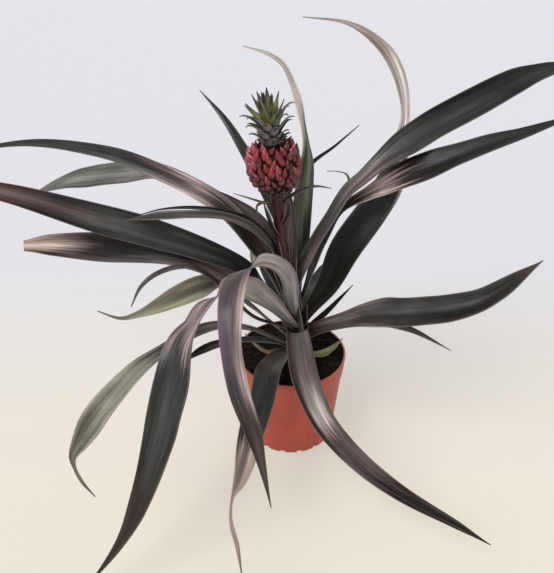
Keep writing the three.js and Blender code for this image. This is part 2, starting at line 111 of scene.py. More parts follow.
def apply_modifiers(piece):
    select_only(piece)
    for modifier in list(piece.modifiers):
        bpy.ops.object.modifier_apply(modifier=modifier.name)


def copy_of(piece, name):
    twin = bpy.data.objects.new(name, piece.data.copy())
    bpy.context.scene.collection.objects.link(twin)
    return twin


def joined(pieces, name):
    select_only(*pieces)
    bpy.ops.object.join()
    whole = bpy.context.object
    whole.name = name
    return whole


def hand_over(piece, name, slot, *nodes):
    """The piece is named, rides on the plant and stands for its solids. The slot is not used."""
    piece.name = name
    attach(piece, "root")
    if nodes:
        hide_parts(*nodes)


def mixed(low, high, share):
    return low + (high - low) * share


def eased(share):
    held = min(max(share, 0), 1)
    return held * held * (3 - 2 * held)


def smoothed(values, knot):
    """A value that runs smoothly through the one at each point of a line."""
    near = min(int(knot), len(values) - 2)
    share = knot - near
    before, start, end, after = [values[min(max(near + k, 0), len(values) - 1)] for k in (-1, 0, 1, 2)]
    set_out = (end - before) / 2
    come_in = (after - start) / 2
    square = 3 * (end - start) - 2 * set_out - come_in
    cube = 2 * (start - end) + set_out + come_in
    return start + set_out * share + square * share ** 2 + cube * share ** 3


# %% [markdown]
# ## Lines that leaves follow
# Every leaf is bent along its own line: a few points with a smooth curve through them. At each
# point the leaf also has a roll, in degrees, and a width, and these too run smoothly between. The
# curve is a Catmull-Rom curve with centripetal spacing, which passes through every point and never
# loops between two close ones. Blender's own curves could be used instead, but the solids follow
# this one, and a leaf has to lie where its solid lies.

# %% A smooth point on a line
def curve_point(points, knot):
    """Where the curve is at a knot: 0 is the first point, 1 the second, and so on."""
    first = min(int(knot), len(points) - 2)
    share = knot - first
    before = points[first - 1] if first else points[0] * 2 - points[1]
    after = points[first + 2] if first + 2 < len(points) else points[-1] * 2 - points[-2]
    four = [before, points[first], points[first + 1], after]
    gaps = [max((b - a).length, 1e-9) ** 0.5 for a, b in zip(four, four[1:])]
    slopes = []
    for k in (0, 1):
        slope = (four[k + 1] - four[k]) / gaps[k] + (four[k + 2] - four[k + 1]) / gaps[k + 1]
        slope -= (four[k + 2] - four[k]) / (gaps[k] + gaps[k + 1])
        slopes.append(slope * gaps[1])
    rise = four[2] - four[1]
    cubic = slopes[0] + slopes[1] - 2 * rise
    square = 3 * rise - 2 * slopes[0] - slopes[1]
    return four[1] + share * (slopes[0] + share * (square + share * cubic))


def walked(points, per_knot):
    """Close points along the curve, each with its knot and the share of the length walked."""
    knots = [k / per_knot for k in range((len(points) - 1) * per_knot + 1)]
    places = [curve_point(points, knot) for knot in knots]
    lengths = [0]
    for here, there in zip(places, places[1:]):
        lengths.append(lengths[-1] + (there - here).length)
    return [(place, knot, length / lengths[-1]) for place, knot, length in zip(places, knots, lengths)]


# %% [markdown]
# A Curve modifier bends a flat blank along such a line. The blank lies along X and is stretched to
# the line's length. The curve's radius gives the blank its half width at each place, and its tilt
# gives the roll. Blender starts the blank level across the line's first step. The solids start
# level across the way the leaf sets out, so the small angle between the two is added to each tilt.

# %% Bend a blank along a line
BENDING_STEPS = 10
MEASURING_STEPS = 12


def setting_out(points):
    """The level direction across a leaf, from where it has gone in its first quarter."""
    steps = walked(points, MEASURING_STEPS)
    quarter = next(place for place, knot, share in steps if share >= 0.25)
    way = quarter - points[0]
    return Vector((way.y, -way.x, 0)).normalized()


def starting_turn(points):
    steps = walked(points[:3], MEASURING_STEPS)
    along = (steps[1][0] - steps[0][0]).normalized()
    wanted = setting_out(points)
    wanted = (wanted - along * wanted.dot(along)).normalized()
    given = Vector((along.y, -along.x, 0)).normalized()
    return math.atan2(given.cross(wanted).dot(along), given.dot(wanted))


def bend_along(piece, points, half_width_at, roll_at=None):
    """Bend a blank along a curve through the points; widths are in metres, rolls in degrees."""
    curve = bpy.data.curves.new("bending line", "CURVE")
    curve.dimensions = "3D"
    curve.twist_mode = "MINIMUM"
    curve.use_radius = True
    curve.use_stretch = True
    curve.use_deform_bounds = True
    steps = walked(points, BENDING_STEPS)
    spline = curve.splines.new("POLY")
    spline.points.add(len(steps) - 1)
    turn = starting_turn(points) if roll_at else 0
    for spot, (place, knot, share) in zip(spline.points, steps):
        spot.co = (*place, 1)
        spot.radius = half_width_at(knot)
        spot.tilt = turn + (math.radians(roll_at(knot)) if roll_at else 0)
    line = bpy.data.objects.new("bending line", curve)
    bpy.context.scene.collection.objects.link(line)
    bend = piece.modifiers.new("bend", "CURVE")
    bend.object = line
    bend.deform_axis = "POS_X"
    apply_modifiers(piece)
    bpy.data.objects.remove(line)
    return piece


# %% [markdown]
# ## The leaves
# A pineapple leaf is a long strap with a hollow upper face, widest some way up and drawn out to a
# fine tip. All thirty leaves have that one form, so one flat blank is modelled and copied. It is a
# grid, 2 across and 1 long, with its lengthwise rows lifted towards the edges into a channel. The
# grid carries a UV map, so every finish can tell how far along and how far across it is. Its two
# material slots are for the upper face and the underside; plain stand-ins fill them for now.

# %% Model the flat blank
CHANNEL = 0.3


def channelled_blank(steps, rows):
    blank = added(bpy.ops.mesh.primitive_grid_add, x_subdivisions=steps, y_subdivisions=rows, size=2)
    for row in range(rows + 1):
        reach = 2 * row / rows - 1
        lift = CHANNEL * (abs(reach) ** 1.4 - 0.5)
        pick_points(blank, lambda co: abs(co.y - reach) < 0.001)
        in_edit_mode(blank, lambda: bpy.ops.transform.translate(value=(0, 0, lift)))
    pick_points(blank, lambda co: True)
    in_edit_mode(blank, lambda: bpy.ops.transform.translate(value=(1, 0, 0)))
    in_edit_mode(blank, lambda: bpy.ops.transform.resize(
        value=(0.5, 1, 1), center_override=(0, 0, 0)))
    for stand_in in stand_ins:
        blank.data.materials.append(stand_in)
    return blank


stand_ins = [bpy.data.materials.new(side) for side in ("upper face", "underside")]
leaf_blank = channelled_blank(steps=120, rows=12)
small_blank = channelled_blank(steps=20, rows=4)
print("leaf blank faces", len(leaf_blank.data.polygons), "small", len(small_blank.data.polygons))

# %% [markdown]
# The lines below are copied from those of the solids, in millimetres, roughly from the lowest leaf up. A
# small program worked them out from places picked in the camera's view, at depths that were guessed. Each
# row gives the name, then the points from the stalk to the tip: place, roll and width.

# %% Lines of the thirty leaves
LEAVES = [
    ("leaf_stub_right", [
        (8, -2, 111, 0, 4), (22, -11, 112, 0, 8), (35, -12, 114, 20, 9), (46, -12, 123, 20, 6),
        (54, -14, 136, 20, 1.6)]),
    ("leaf_stub_left", [
        (5, -3, 113, 0, 3), (-12, -6, 113, 0, 7), (-27, -10, 114, 0, 6.5), (-39, -7, 121, 0, 5),
        (-51, -5, 136, 0, 1.6)]),
    ("leaf_front_hanging", [
        (6, -2, 112, 0, 10), (-1, -12, 121, 0, 13), (-14, -30, 123, 0, 22), (-25, -68, 133, 0, 26),
        (-30, -98, 126, 0, 25), (-39, -130, 118, -20, 24), (-46, -158, 104, -50, 22),
        (-51, -174, 94, -60, 15), (-56, -183, 86, -70, 5.6), (-57, -197, 75, -80, 7),
        (-51, -210, 55, -80, 7.2), (-47, -219, 26, -80, 1.6)]),
    ("leaf_low_left", [
        (5, -2, 112, 0, 6.5), (-17, -16, 132, 0, 12), (-49, -36, 150, 0, 11), (-76, -54, 158, 0, 12),
        (-93, -66, 158, -20, 7.7), (-106, -76, 154, -20, 1.6)]),
    ("leaf_right_under", [
        (6, 1, 110, 0, 7.2), (20, 3, 127, 10, 9), (41, 4, 139, 20, 12), (69, 6, 144, 20, 12),
        (100, 7, 141, 20, 11), (132, 4, 133, 20, 7.8), (175, -6, 113, 20, 1.6)]),
    ("leaf_left_pale_low", [
        (6, -2, 113, 0, 10), (-12, -15, 133, 0, 12), (-50, -44, 172, 0, 14), (-82, -67, 188, 0, 16),
        (-121, -98, 184, 0, 16), (-142, -115, 176, -10, 20), (-169, -138, 155, -20, 24),
        (-182, -147, 139, -20, 25), (-192, -155, 124, -20, 17), (-197, -163, 116, -20, 8),
        (-195, -169, 110, -20, 3.4), (-187, -179, 103, -20, 3), (-174, -189, 95, -20, 1.6)]),
    ("leaf_back_low_left", [
        (5, 2, 116, 0, 10), (-4, 22, 137, 0, 16), (-20, 62, 165, 0, 24), (-34, 108, 172, 0, 20),
        (-44, 152, 146, 0, 13), (-50, 188, 98, 0, 1.6)]),
    ("leaf_right_wavy", [
        (5, 0, 119, 0, 12), (22, -4, 138, 20, 16), (56, -9, 156, 30, 20), (91, -14, 168, 33, 32),
        (113, -19, 172, 35, 32), (159, -27, 183, 35, 30), (184, -31, 194, 35, 25),
        (197, -33, 204, 35, 22), (208, -35, 215, 33, 19), (218, -37, 227, 30, 13),
        (235, -39, 246, 30, 1.6)]),
    ("leaf_left_curled", [
        (4, -1, 120, 0, 9), (-16, -8, 146, 0, 9), (-47, -24, 189, -20, 9), (-69, -37, 219, -50, 6.8),
        (-84, -53, 227, -60, 21), (-95, -60, 227, -60, 23), (-108, -68, 225, -60, 21),
        (-125, -77, 220, -55, 14), (-140, -85, 217, -50, 6.8), (-155, -94, 218, -40, 3),
        (-172, -103, 232, -20, 1.6)]),
    ("leaf_back_low_right", [
        (4, 2, 130, 0, 10), (13, 22, 146, 0, 16), (30, 62, 154, 0, 24), (48, 108, 152, 0, 20),
        (54, 150, 130, 0, 12), (58, 184, 92, 0, 1.6)]),
    ("leaf_front_right", [
        (5, 0, 130, 0, 18), (5, -14, 144, 0, 22), (7, -42, 144, 0, 26), (12, -78, 134, 0, 27),
        (29, -110, 108, 0, 23), (61, -131, 78, 0, 20), (101, -152, 56, 0, 15),
        (152, -177, 41, 0, 7.4), (180, -192, 33, 0, 1.6)]),
    ("leaf_left_narrow", [
        (4, -1, 132, 0, 3.6), (-12, -16, 153, 0, 5.6), (-42, -39, 183, -20, 8),
        (-66, -48, 220, -40, 8), (-94, -66, 255, -40, 5.5), (-118, -84, 260, -20, 5.2),
        (-133, -94, 252, 0, 5.2), (-143, -101, 235, 0, 1.6)]),
    ("leaf_right_slim", [
        (6, 1, 122, 20, 3.2), (22, 9, 136, 20, 7.5), (40, 19, 149, 20, 6.2), (54, 28, 160, 20, 3.7),
        (68, 36, 172, 20, 1.6)]),
    ("leaf_left_blunt", [
        (4, 0, 134, 0, 15), (-12, -4, 156, 0, 14), (-50, -11, 198, -20, 21),
        (-80, -15, 223, -40, 20), (-120, -20, 243, -50, 24), (-181, -34, 257, -50, 28),
        (-226, -42, 264, -50, 20), (-247, -49, 267, -50, 10)]),
    ("leaf_left_front_broad", [
        (5, -1, 138, 0, 15), (-4, -15, 160, 20, 15), (-31, -37, 203, 40, 27),
        (-50, -67, 234, 54, 28), (-65, -77, 238, 60, 29), (-76, -91, 234, 27, 32),
        (-87, -113, 227, 27, 32), (-98, -126, 213, 4, 34), (-105, -142, 186, -18, 34),
        (-112, -153, 162, -15, 34), (-118, -162, 138, -10, 33), (-140, -188, 77, -5, 21),
        (-156, -204, 50, 0, 10), (-185, -222, 16, 0, 1.6)]),
    ("leaf_right_back_broad", [
        (5, 1, 138, 0, 15), (18, 10, 154, 0, 16), (39, 27, 176, 20, 25), (57, 45, 210, 30, 34),
        (89, 71, 247, 35, 34), (111, 107, 264, 30, 31), (121, 123, 297, 20, 20),
        (124, 127, 333, 10, 10), (117, 121, 365, 0, 14), (106, 115, 389, 0, 17),
        (93, 111, 407, 0, 17), (55, 85, 434, 0, 9), (7, 55, 445, 0, 1.6)]),
    ("leaf_left_broad", [
        (4, 0, 144, 0, 14), (-10, -2, 164, 0, 17), (-30, -7, 196, 0, 26), (-52, -11, 223, -40, 20),
        (-92, -17, 247, -60, 23), (-137, -24, 268, -60, 28), (-180, -32, 286, -60, 27),
        (-257, -46, 319, -60, 16), (-290, -52, 327, -55, 9), (-322, -57, 324, -50, 1.6)]),
    ("leaf_front_arch", [
        (4, 0, 147, 0, 16), (-1, -13, 180, 0, 16), (-4, -27, 216, 15, 17), (-13, -43, 242, 35, 17),
        (-30, -61, 258, 50, 17), (-47, -89, 262, 15, 27), (-53, -123, 256, 8, 25),
        (-53, -150, 230, 0, 19), (-46, -171, 200, 0, 19), (-35, -187, 171, 0, 15),
        (-29, -196, 147, 0, 8), (-21, -210, 107, 0, 1.6)]),
    ("leaf_back_slim", [
        (3, 1, 150, 0, 3.6), (7, 20, 170, 0, 5.5), (10, 52, 218, 0, 8), (12, 76, 256, 0, 6.7),
        (18, 88, 288, 0, 4.8), (47, 106, 306, 0, 2.7), (74, 124, 323, 0, 1.6)]),
    ("leaf_left_back_pale", [
        (2, 1, 154, 0, 12), (-8, 8, 174, 0, 14), (-30, 22, 224, 0, 23), (-54, 34, 257, -10, 19),
        (-91, 50, 277, -20, 17), (-138, 68, 291, -25, 19), (-172, 76, 287, -25, 27),
        (-198, 85, 281, -25, 28), (-221, 95, 274, -23, 29), (-244, 104, 267, -20, 25),
        (-278, 121, 251, -10, 17), (-304, 131, 238, 0, 1.6)]),
    ("leaf_left_long", [
        (2, 0, 158, 0, 13), (-9, 2, 178, 0, 13), (-33, 6, 228, -20, 20), (-71, 10, 279, -20, 24),
        (-114, 15, 304, -20, 22), (-173, 22, 327, -15, 19), (-243, 31, 335, -10, 14),
        (-284, 36, 331, -5, 10), (-328, 41, 320.5, 0, 5.7), (-371, 46, 302, 0, 1.6)]),
    ("leaf_right_striped", [
        (3, 1, 158, 0, 11), (15, 3, 190, 0, 14), (28, 4, 243, 10, 26), (46, 9, 275, 20, 11),
        (72, 8, 293, 25, 16), (88, 8, 302, 25, 24), (110, 10, 313, 25, 31), (131, 10, 322, 25, 31),
        (153, 9, 332, 25, 25), (181, 9, 343, 25, 20), (208, 9, 352, 25, 13), (237, 11, 362, 25, 6.3),
        (258, 13, 368, 20, 1.6)]),
    ("leaf_back_tall", [
        (2, 2, 166, 0, 7.2), (5, 18, 190, 0, 11), (8, 32, 214, 0, 18), (11, 48, 266, 0, 20),
        (14, 56, 306, -10, 16), (13, 61, 325, -30, 10), (10, 64, 344, -45, 10),
        (4, 55, 373, -35, 11), (-2, 55, 389, -30, 8), (-9, 52, 403, -30, 6.6),
        (-22, 39, 416, -30, 7.6), (-46, 20, 427, -30, 1.6)]),
    ("leaf_right_high", [
        (0, 0, 172, 0, 11), (10, -1, 205, 0, 14), (25, -1, 247, 10, 23), (51, 6, 294, 10, 23),
        (67, 8, 310, 20, 20), (84, 13, 325, 35, 21), (105, 20, 339, 45, 29), (134, 30, 355, 50, 30),
        (173, 38, 374, 50, 30), (207, 46, 390, 50, 26), (227, 49, 397, 50, 18),
        (245, 52, 401, 50, 12), (270, 59, 401, 50, 1.6)]),
    ("leaf_left_slim_low", [
        (-1, -1, 176, 0, 5.2), (-10, -5, 200, -10, 7.9), (-23, -9, 246, -25, 11),
        (-43, -13, 269, -32, 12), (-66, -15, 280, -32, 10), (-97, -19, 284, -32, 10),
        (-125, -22, 284, -32, 11), (-156, -28, 283, -32, 1.6)]),
    ("leaf_left_short", [
        (-1, 1, 182, 0, 10), (-9, 7, 206, 0, 15), (-20, 12, 236, -20, 17), (-38, 18, 263, -30, 13),
        (-60, 25, 278, -30, 7), (-82, 29, 290, -30, 1.6)]),
    ("leaf_back_left_spear", [
        (-1, 1, 198, 0, 3.8), (-1, 20, 219, 0, 6.6), (-20, 52, 260, 0, 14), (-49, 100, 298, 0, 12),
        (-75, 150, 321, 0, 7.7), (-109, 214, 337, 0, 1.6)]),
    ("leaf_right_hooked", [
        (0, 3, 194, 0, 3.6), (10, 15, 216, 0, 6.9), (26, 24, 244, 0, 8), (46, 34, 274, 0, 5.9),
        (57, 40, 289, 0, 4.2), (54, 40, 300, 0, 2.9), (45, 38, 304, 0, 1.7), (33, 34, 306, 0, 1.6)]),
    ("leaf_left_slim_high", [
        (-2, 0, 188, 0, 3.6), (-10, 2, 211, 0, 5.6), (-22, 4, 243, 0, 8), (-43, 1, 268, 0, 7.5),
        (-70, -3, 280, 0, 6.1), (-100, -10, 287, 0, 4.1), (-126, -12, 286, 0, 1.9),
        (-144, -14, 282, 0, 1.6)]),
    ("leaf_inner_back", [
        (-3, 1, 206, 0, 8), (-1, 12, 225, 0, 12), (-3, 26, 250, 0, 14), (-6, 38, 272, 0, 12),
        (-11, 45, 296, 0, 7.9), (-16, 52, 328, 0, 1.6)]),
]
print("leaves", len(LEAVES))

# %% [markdown]
# A leaf that follows its line exactly looks pressed from sheet, while real edges ripple. The ripple
# is two slow sine waves whose phase comes from the leaf's place in the list, so that the plant is
# the same each time it is made. A leaf that ends narrow is drawn out to a finer tip.

# %% Bend, ripple and thicken a leaf
LEAF_THICKNESS = 0.8 * MM
CREASE_ANGLE = math.radians(50)
TIP_WIDTH = 0.7
POINTED = 2


def leaf_from(blank, name, line, ripple=0.0, seed=0, thickness=LEAF_THICKNESS):
    leaf = copy_of(blank, name)
    points = [Vector(spot[:3]) * MM for spot in line]
    rolls = [spot[3] for spot in line]
    widths = [spot[4] for spot in line]
    if widths[-1] < POINTED:
        widths[-1] = TIP_WIDTH
    for point in leaf.data.vertices:
        reach = abs(point.co.y) ** 2
        side = 1 if point.co.y > 0 else -1
        wave = math.sin(point.co.x * 21 + seed * 2.4 + side) + math.sin(point.co.x * 47 + seed)
        point.co.z += ripple * reach * wave * (1 - point.co.x)
    bend_along(leaf, points, lambda knot: max(smoothed(widths, knot), TIP_WIDTH) * MM / 2,
               lambda knot: smoothed(rolls, knot))
    shell = leaf.modifiers.new("thickness", "SOLIDIFY")
    shell.thickness = thickness
    shell.offset = 0
    shell.material_offset = 1
    apply_modifiers(leaf)
    bpy.ops.object.shade_smooth_by_angle(angle=CREASE_ANGLE)
    return leaf


leaves = {}
for number, (name, line) in enumerate(LEAVES):
    leaves[name] = leaf_from(leaf_blank, name, line, 0.05, number)
print("leaf triangles", sum(2 * len(leaf.data.polygons) for leaf in leaves.values()))

# %% [markdown]
# ## The stalk and its bracts
# The stalk is a round stem that leans to the left. It is modelled as a ring of points extruded step
# by step along X into a tube, closed at both ends, and then bent along its line like a leaf. Low
# ridges run along it, and it swells a little here and there, as at old leaf bases. The bracts are
# small leaves under the fruit, so they come from the small blank.

# %% Extrude and bend the stalk
STALK_LINE = [(6, 0, 66), (6, 0, 100), (5, 0, 135), (0, 0, 175), (-9, 0, 225), (-16.9, 0, 298.4)]
STALK_RADII = [8, 9, 9, 7.5, 5.7, 5.5]
STALK_SIDES = 28
STALK_STEPS = 70


def tube_blank(sides, steps):
    """A tube of radius 1 along X from 0 to 1, with closed ends."""
    tube = added(bpy.ops.mesh.primitive_circle_add, vertices=sides, radius=1, fill_type="NGON",
                 rotation=(0, math.radians(90), 0))
    bpy.ops.object.transform_apply(location=False, rotation=True, scale=False)
    pick_points(tube, lambda co: True)

    def grow():
        for step in range(steps):
            bpy.ops.mesh.extrude_region_move(TRANSFORM_OT_translate={"value": (1 / steps, 0, 0)})
        bpy.ops.mesh.select_all(action="SELECT")
        bpy.ops.mesh.normals_make_consistent(inside=False)

    in_edit_mode(tube, grow)
    return tube


def stalk_half_width(knot):
    near = min(int(knot), len(STALK_RADII) - 2)
    swell = 1 + 0.05 * max(0, math.sin(knot * 13)) ** 3
    return mixed(STALK_RADII[near], STALK_RADII[near + 1], knot - near) * swell * MM


stalk_points = [Vector(spot) * MM for spot in STALK_LINE]
stem = tube_blank(STALK_SIDES, STALK_STEPS)
for point in stem.data.vertices:
    turn = math.atan2(point.co.z, point.co.y)
    ridge = 1 + 0.035 * math.cos(7 * turn + 3 * point.co.x) + 0.02 * math.cos(13 * turn)
    point.co.y *= ridge
    point.co.z *= ridge
bend_along(stem, stalk_points, stalk_half_width)
bpy.ops.object.shade_smooth_by_angle(angle=CREASE_ANGLE)
print("stalk triangles", sum(len(face.vertices) - 2 for face in stem.data.polygons))

# %% Bend the bracts
BRACTS = [
    [(-17, 0, 284, 0, 5), (-28, -5, 289, 0, 7), (-41, -8, 295, 0, 5), (-57, -11, 302, 0, 0.7)],
    [(-15, 0, 282, 0, 5), (-3, 6, 291, 0, 6), (8, 8, 297, 0, 5.5), (21, 10, 300, 0, 4),
     (37, 12, 297, 0, 0.7)],
    [(-19, 0, 287, 0, 4), (-29, -5, 290, 0, 5), (-35, -8, 287, 0, 3.5), (-34, -10, 280, 0, 0.7)],
    [(-13, -2, 262, 0, 6), (-6, -8, 277, 0, 9), (-5, -11, 288, 0, 7), (-7, -13, 297, 0, 0.7)],
    [(-13, -2, 250, 0, 6), (-21, -8, 266, 0, 9), (-25, -11, 280, 0, 8), (-29, -12, 294, 0, 0.7)],
]
BRACT_THICKNESS = 0.6 * MM
bracts = [
    leaf_from(small_blank, "bract", line, 0.04, number, BRACT_THICKNESS)
    for number, line in enumerate(BRACTS)
]
bracts = joined(bracts, "bracts")
print("bracts", len(BRACTS))

# %% [markdown]
# Lower down the stalk is wrapped in the sheaths of young leaves that have not opened yet. Each is
# a short wide leaf that starts beside the stalk and hugs it, one above the other on turning sides.

# %% Wrap the stalk in sheaths
SHEATHS = 9
SHEATH_LOW = 107
SHEATH_HIGH = 205
SHEATH_TURN = 137.5


def sheath(number):
    share = number / (SHEATHS - 1)
    foot = mixed(SHEATH_LOW, SHEATH_HIGH, share)
    turn = math.radians(20) + number * math.radians(SHEATH_TURN)
    line = []
    for climb, gap, width in ((0, 0.6, 17), (14, 1.4, 17), (30, 2.6, 13), (44, 4.2, 8), (60, 8, 0.7)):
        height = foot + climb
        knot = min(range(101), key=lambda k: abs(curve_point(stalk_points, k / 20).z - height * MM)) / 20
        middle = curve_point(stalk_points, knot)
        out = stalk_half_width(knot) / MM + gap
        line.append((middle.x / MM + out * math.cos(turn), middle.y / MM + out * math.sin(turn),
                     height, 0, width * mixed(1, 0.75, share)))
    return leaf_from(small_blank, "sheath", line, 0.02, number, BRACT_THICKNESS)


sheaths = joined([sheath(number) for number in range(SHEATHS)], "sheaths")
print("sheaths", SHEATHS)

# %% [markdown]
# ## The fruit
# A young pineapple is a barrel of fruitlets packed in spirals. Each fruitlet is a swollen base with
# a pointed bract over it that sweeps up. The spirals follow the golden angle: each fruitlet is
# turned about 137.5 degrees from the last and stands a little higher. One fruitlet is made from a
# sphere, pulled up into a point, and copied into place over a barrel that is extruded ring by ring.

# %% Barrel under the fruitlets
FRUIT_BOTTOM = Vector((-17, 0, 299)) * MM
FRUIT_LENGTH = 46
FRUIT_RADIUS = 21.8
FRUIT_LEAN = 4
GOLDEN_ANGLE = math.pi * (3 - math.sqrt(5))
BARREL = [(8, 0), (14.5, 3.5), (18.5, 10), (FRUIT_RADIUS, 21), (FRUIT_RADIUS + 0.5, 32),
          (20.5, 39.5), (15, FRUIT_LENGTH)]


def turned_solid(rings, sides, name):
    """A closed round solid: a disc, extruded from ring to ring; rings are (radius, height) in mm."""
    radius, height = rings[0]
    solid = added(bpy.ops.mesh.primitive_circle_add, vertices=sides, radius=radius * MM,
                  fill_type="NGON", location=(0, 0, height * MM))
    solid.name = name
    bpy.ops.object.transform_apply(location=True, rotation=False, scale=False)
    pick_points(solid, lambda co: True)

    def climb():
        for (old_radius, old_height), (new_radius, new_height) in zip(rings, rings[1:]):
            rise = (0, 0, (new_height - old_height) * MM)
            grown = new_radius / old_radius
            bpy.ops.mesh.extrude_region_move(TRANSFORM_OT_translate={"value": rise})
            bpy.ops.transform.resize(value=(grown, grown, 1), center_override=(0, 0, new_height * MM))
        bpy.ops.mesh.select_all(action="SELECT")
        bpy.ops.mesh.normals_make_consistent(inside=False)

    in_edit_mode(solid, climb)
    return solid


def barrel_radius(height):
    for (low_radius, low), (high_radius, high) in zip(BARREL, BARREL[1:]):
        if height <= high:
            return mixed(low_radius, high_radius, (height - low) / (high - low))
    return BARREL[-1][0]


barrel = turned_solid(BARREL, 48, "barrel")
print("barrel height in mm", BARREL[-1][1])

# %% Model one fruitlet and set it round the barrel
FRUITLETS = 132


def fruitlet_blank():
    """One fruitlet facing +X, upright, 2 wide and 2 high before it is sized."""
    fruitlet = added(bpy.ops.mesh.primitive_uv_sphere_add, segments=14, ring_count=12, radius=1)
    rise = fruitlet.data.attributes.new("rise", "FLOAT", "POINT")
    rise.data.foreach_set("value", [(point.co.z + 1) / 2 for point in fruitlet.data.vertices])
    for point in fruitlet.data.vertices:
        top = max(point.co.z, 0)
        narrowed = 1 - 0.7 * top ** 2
        point.co.y *= narrowed
        point.co.x *= narrowed
        keel = max(point.co.x, 0) * (1 - abs(point.co.y)) * 0.4
        point.co.x += 0.35 * top ** 2 + keel
        point.co.z += 0.5 * top ** 6
    return fruitlet


def set_round(blank, turn, place, size, lean=0, twist=0):
    """Copy a blank that faces +X, size it, twist and lean it, and turn it to its place."""
    twin = copy_of(blank, blank.name)
    for point in twin.data.vertices:
        spot = Vector((point.co.x * size[0], point.co.y * size[1], point.co.z * size[2])) * MM
        spot.rotate(Quaternion((1, 0, 0), twist))
        spot.rotate(Quaternion((0, 1, 0), lean))
        spot.rotate(Quaternion((0, 0, 1), turn))
        point.co = spot + place
    return twin


fruitlet = fruitlet_blank()
chance = random.Random(11)
scales = []
for k in range(FRUITLETS):
    share = (k + 0.5) / FRUITLETS
    height = mixed(2, FRUIT_LENGTH + 1, share ** 0.92)
    size = mixed(0.78, 1, eased(3 * share)) * chance.uniform(0.8, 1.2)
    turn = k * GOLDEN_ANGLE + chance.uniform(-0.09, 0.09)
    out = barrel_radius(height) + chance.uniform(-0.6, 1)
    place = Vector((out * math.cos(turn), out * math.sin(turn), height)) * MM
    lean = math.radians(mixed(16, 4, share) + chance.uniform(-14, 16))
    shape = (3 * size, 3.5 * size, mixed(4.3, 5.2, share) * size)
    scales.append(set_round(fruitlet, turn, place, shape, lean, chance.uniform(-0.5, 0.5)))
    ripe = scales[-1].data.attributes.new("ripe", "FLOAT", "POINT")
    own = chance.uniform(0, 1)
    ripe.data.foreach_set("value", [own] * len(scales[-1].data.vertices))
fruit = joined(scales, "fruitlets")
bpy.ops.object.shade_smooth()
print("fruitlets", FRUITLETS, "triangles", sum(len(face.vertices) - 2 for face in fruit.data.polygons))

# %% [markdown]
# ## The crown
# The tuft on the fruit is like a small copy of the plant's own rosette. Most of its leaves follow
# one rule: the lower ones reach out and droop, the highest stand up. A collar of short leaves covers
# its foot, and a few upright ones fill its heart. Each is bent from the small blank along a short
# line worked out from its number.

# %% Bend the crown leaves
CROWN_LEAN = 8
CROWN_LEAVES = 34
CROWN_YOUNG = 22
HEART_LEAVES = 5
COLLAR_LEAVES = 16
CROWN_FOOT_RADIUS = 10
HEART = [(7.5, 0), (7, 8), (5, 22), (3, 28)]
DROOPING = [(0, 0, 1), (0.3, 0.52, 0.86), (0.62, 0.88, 0.52), (0.86, 1, 0.25), (1, 0.96, 0)]
UPRIGHT = [(0, 0, 1), (0.35, 0.35, 0.95), (0.65, 0.65, 0.62), (0.86, 0.87, 0.3), (1, 1.04, 0)]


def short_leaf(name, number, turn, start, reach, root, climb, width, form=DROOPING):
    """A short leaf from one distance out to another, and from one height up by another."""
    line = []
    for out_share, up, width_share in form:
        out = mixed(start, reach, out_share)
        line.append((out * math.cos(turn), out * math.sin(turn), root + up * climb, 0,
                     max(width * width_share, TIP_WIDTH)))
    return leaf_from(small_blank, name, line, 0.03, number, BRACT_THICKNESS)


def crown_leaf(number):
    share = number / (CROWN_LEAVES - 1)
    if share < 0.6:
        reach = mixed(18, 27, share / 0.6)
    else:
        reach = mixed(27, 8, (share - 0.6) / 0.4)
    form = DROOPING if share < 0.66 else UPRIGHT
    return short_leaf("crown leaf", number, number * GOLDEN_ANGLE, mixed(7, 3, share), reach,
                      mixed(1, 23, share), mixed(7, 26, share), mixed(9.5, 9, share), form)


def heart_leaf(number):
    """A young leaf that stands nearly upright in the middle of the crown."""
    turn = (number + 0.5) * GOLDEN_ANGLE
    share = number / HEART_LEAVES
    return short_leaf("heart leaf", number, turn, 2, mixed(10, 3, share), 22, mixed(18, 27, share), 9,
                      UPRIGHT)


def collar_leaf(number):
    """A short leaf that covers the foot of the crown."""
    turn = (number + 0.3) * GOLDEN_ANGLE
    drop = mixed(0, 3, number % 3 / 2)
    return short_leaf("collar leaf", number, turn, 7, mixed(12, 15, number % 3 / 2), 0.4, 7 - drop, 7)


heart = turned_solid(HEART, 24, "crown heart")
tuft = [crown_leaf(number) for number in range(CROWN_YOUNG)]
tuft += [collar_leaf(number) for number in range(COLLAR_LEAVES)]
crown = joined(tuft, "crown leaves")
young = [crown_leaf(number) for number in range(CROWN_YOUNG, CROWN_LEAVES)]
young += [heart_leaf(number) for number in range(HEART_LEAVES)]
young_crown = joined(young, "young crown leaves")
print("crown leaves", len(tuft) + len(young))

# %% Lean the fruit and its crown and set them on the stalk
CROWN_GAP = 0.3
fruit_lean = Quaternion((0, 1, 0), math.radians(-FRUIT_LEAN))
crown_lean = Quaternion((0, 1, 0), math.radians(-CROWN_LEAN))
crown_rise = FRUIT_LENGTH + CROWN_GAP + CROWN_FOOT_RADIUS * math.sin(math.radians(CROWN_LEAN - FRUIT_LEAN))
fruit_top = FRUIT_BOTTOM + fruit_lean @ Vector((0, 0, crown_rise * MM))


def lean_onto(piece, lean, foot):
    for point in piece.data.vertices:
        point.co = foot + lean @ point.co


for piece in (barrel, fruit):
    lean_onto(piece, fruit_lean, FRUIT_BOTTOM)
for piece in (heart, crown, young_crown):
    lean_onto(piece, crown_lean, fruit_top)
print("fruit top in mm", [round(c / MM, 1) for c in fruit_top])

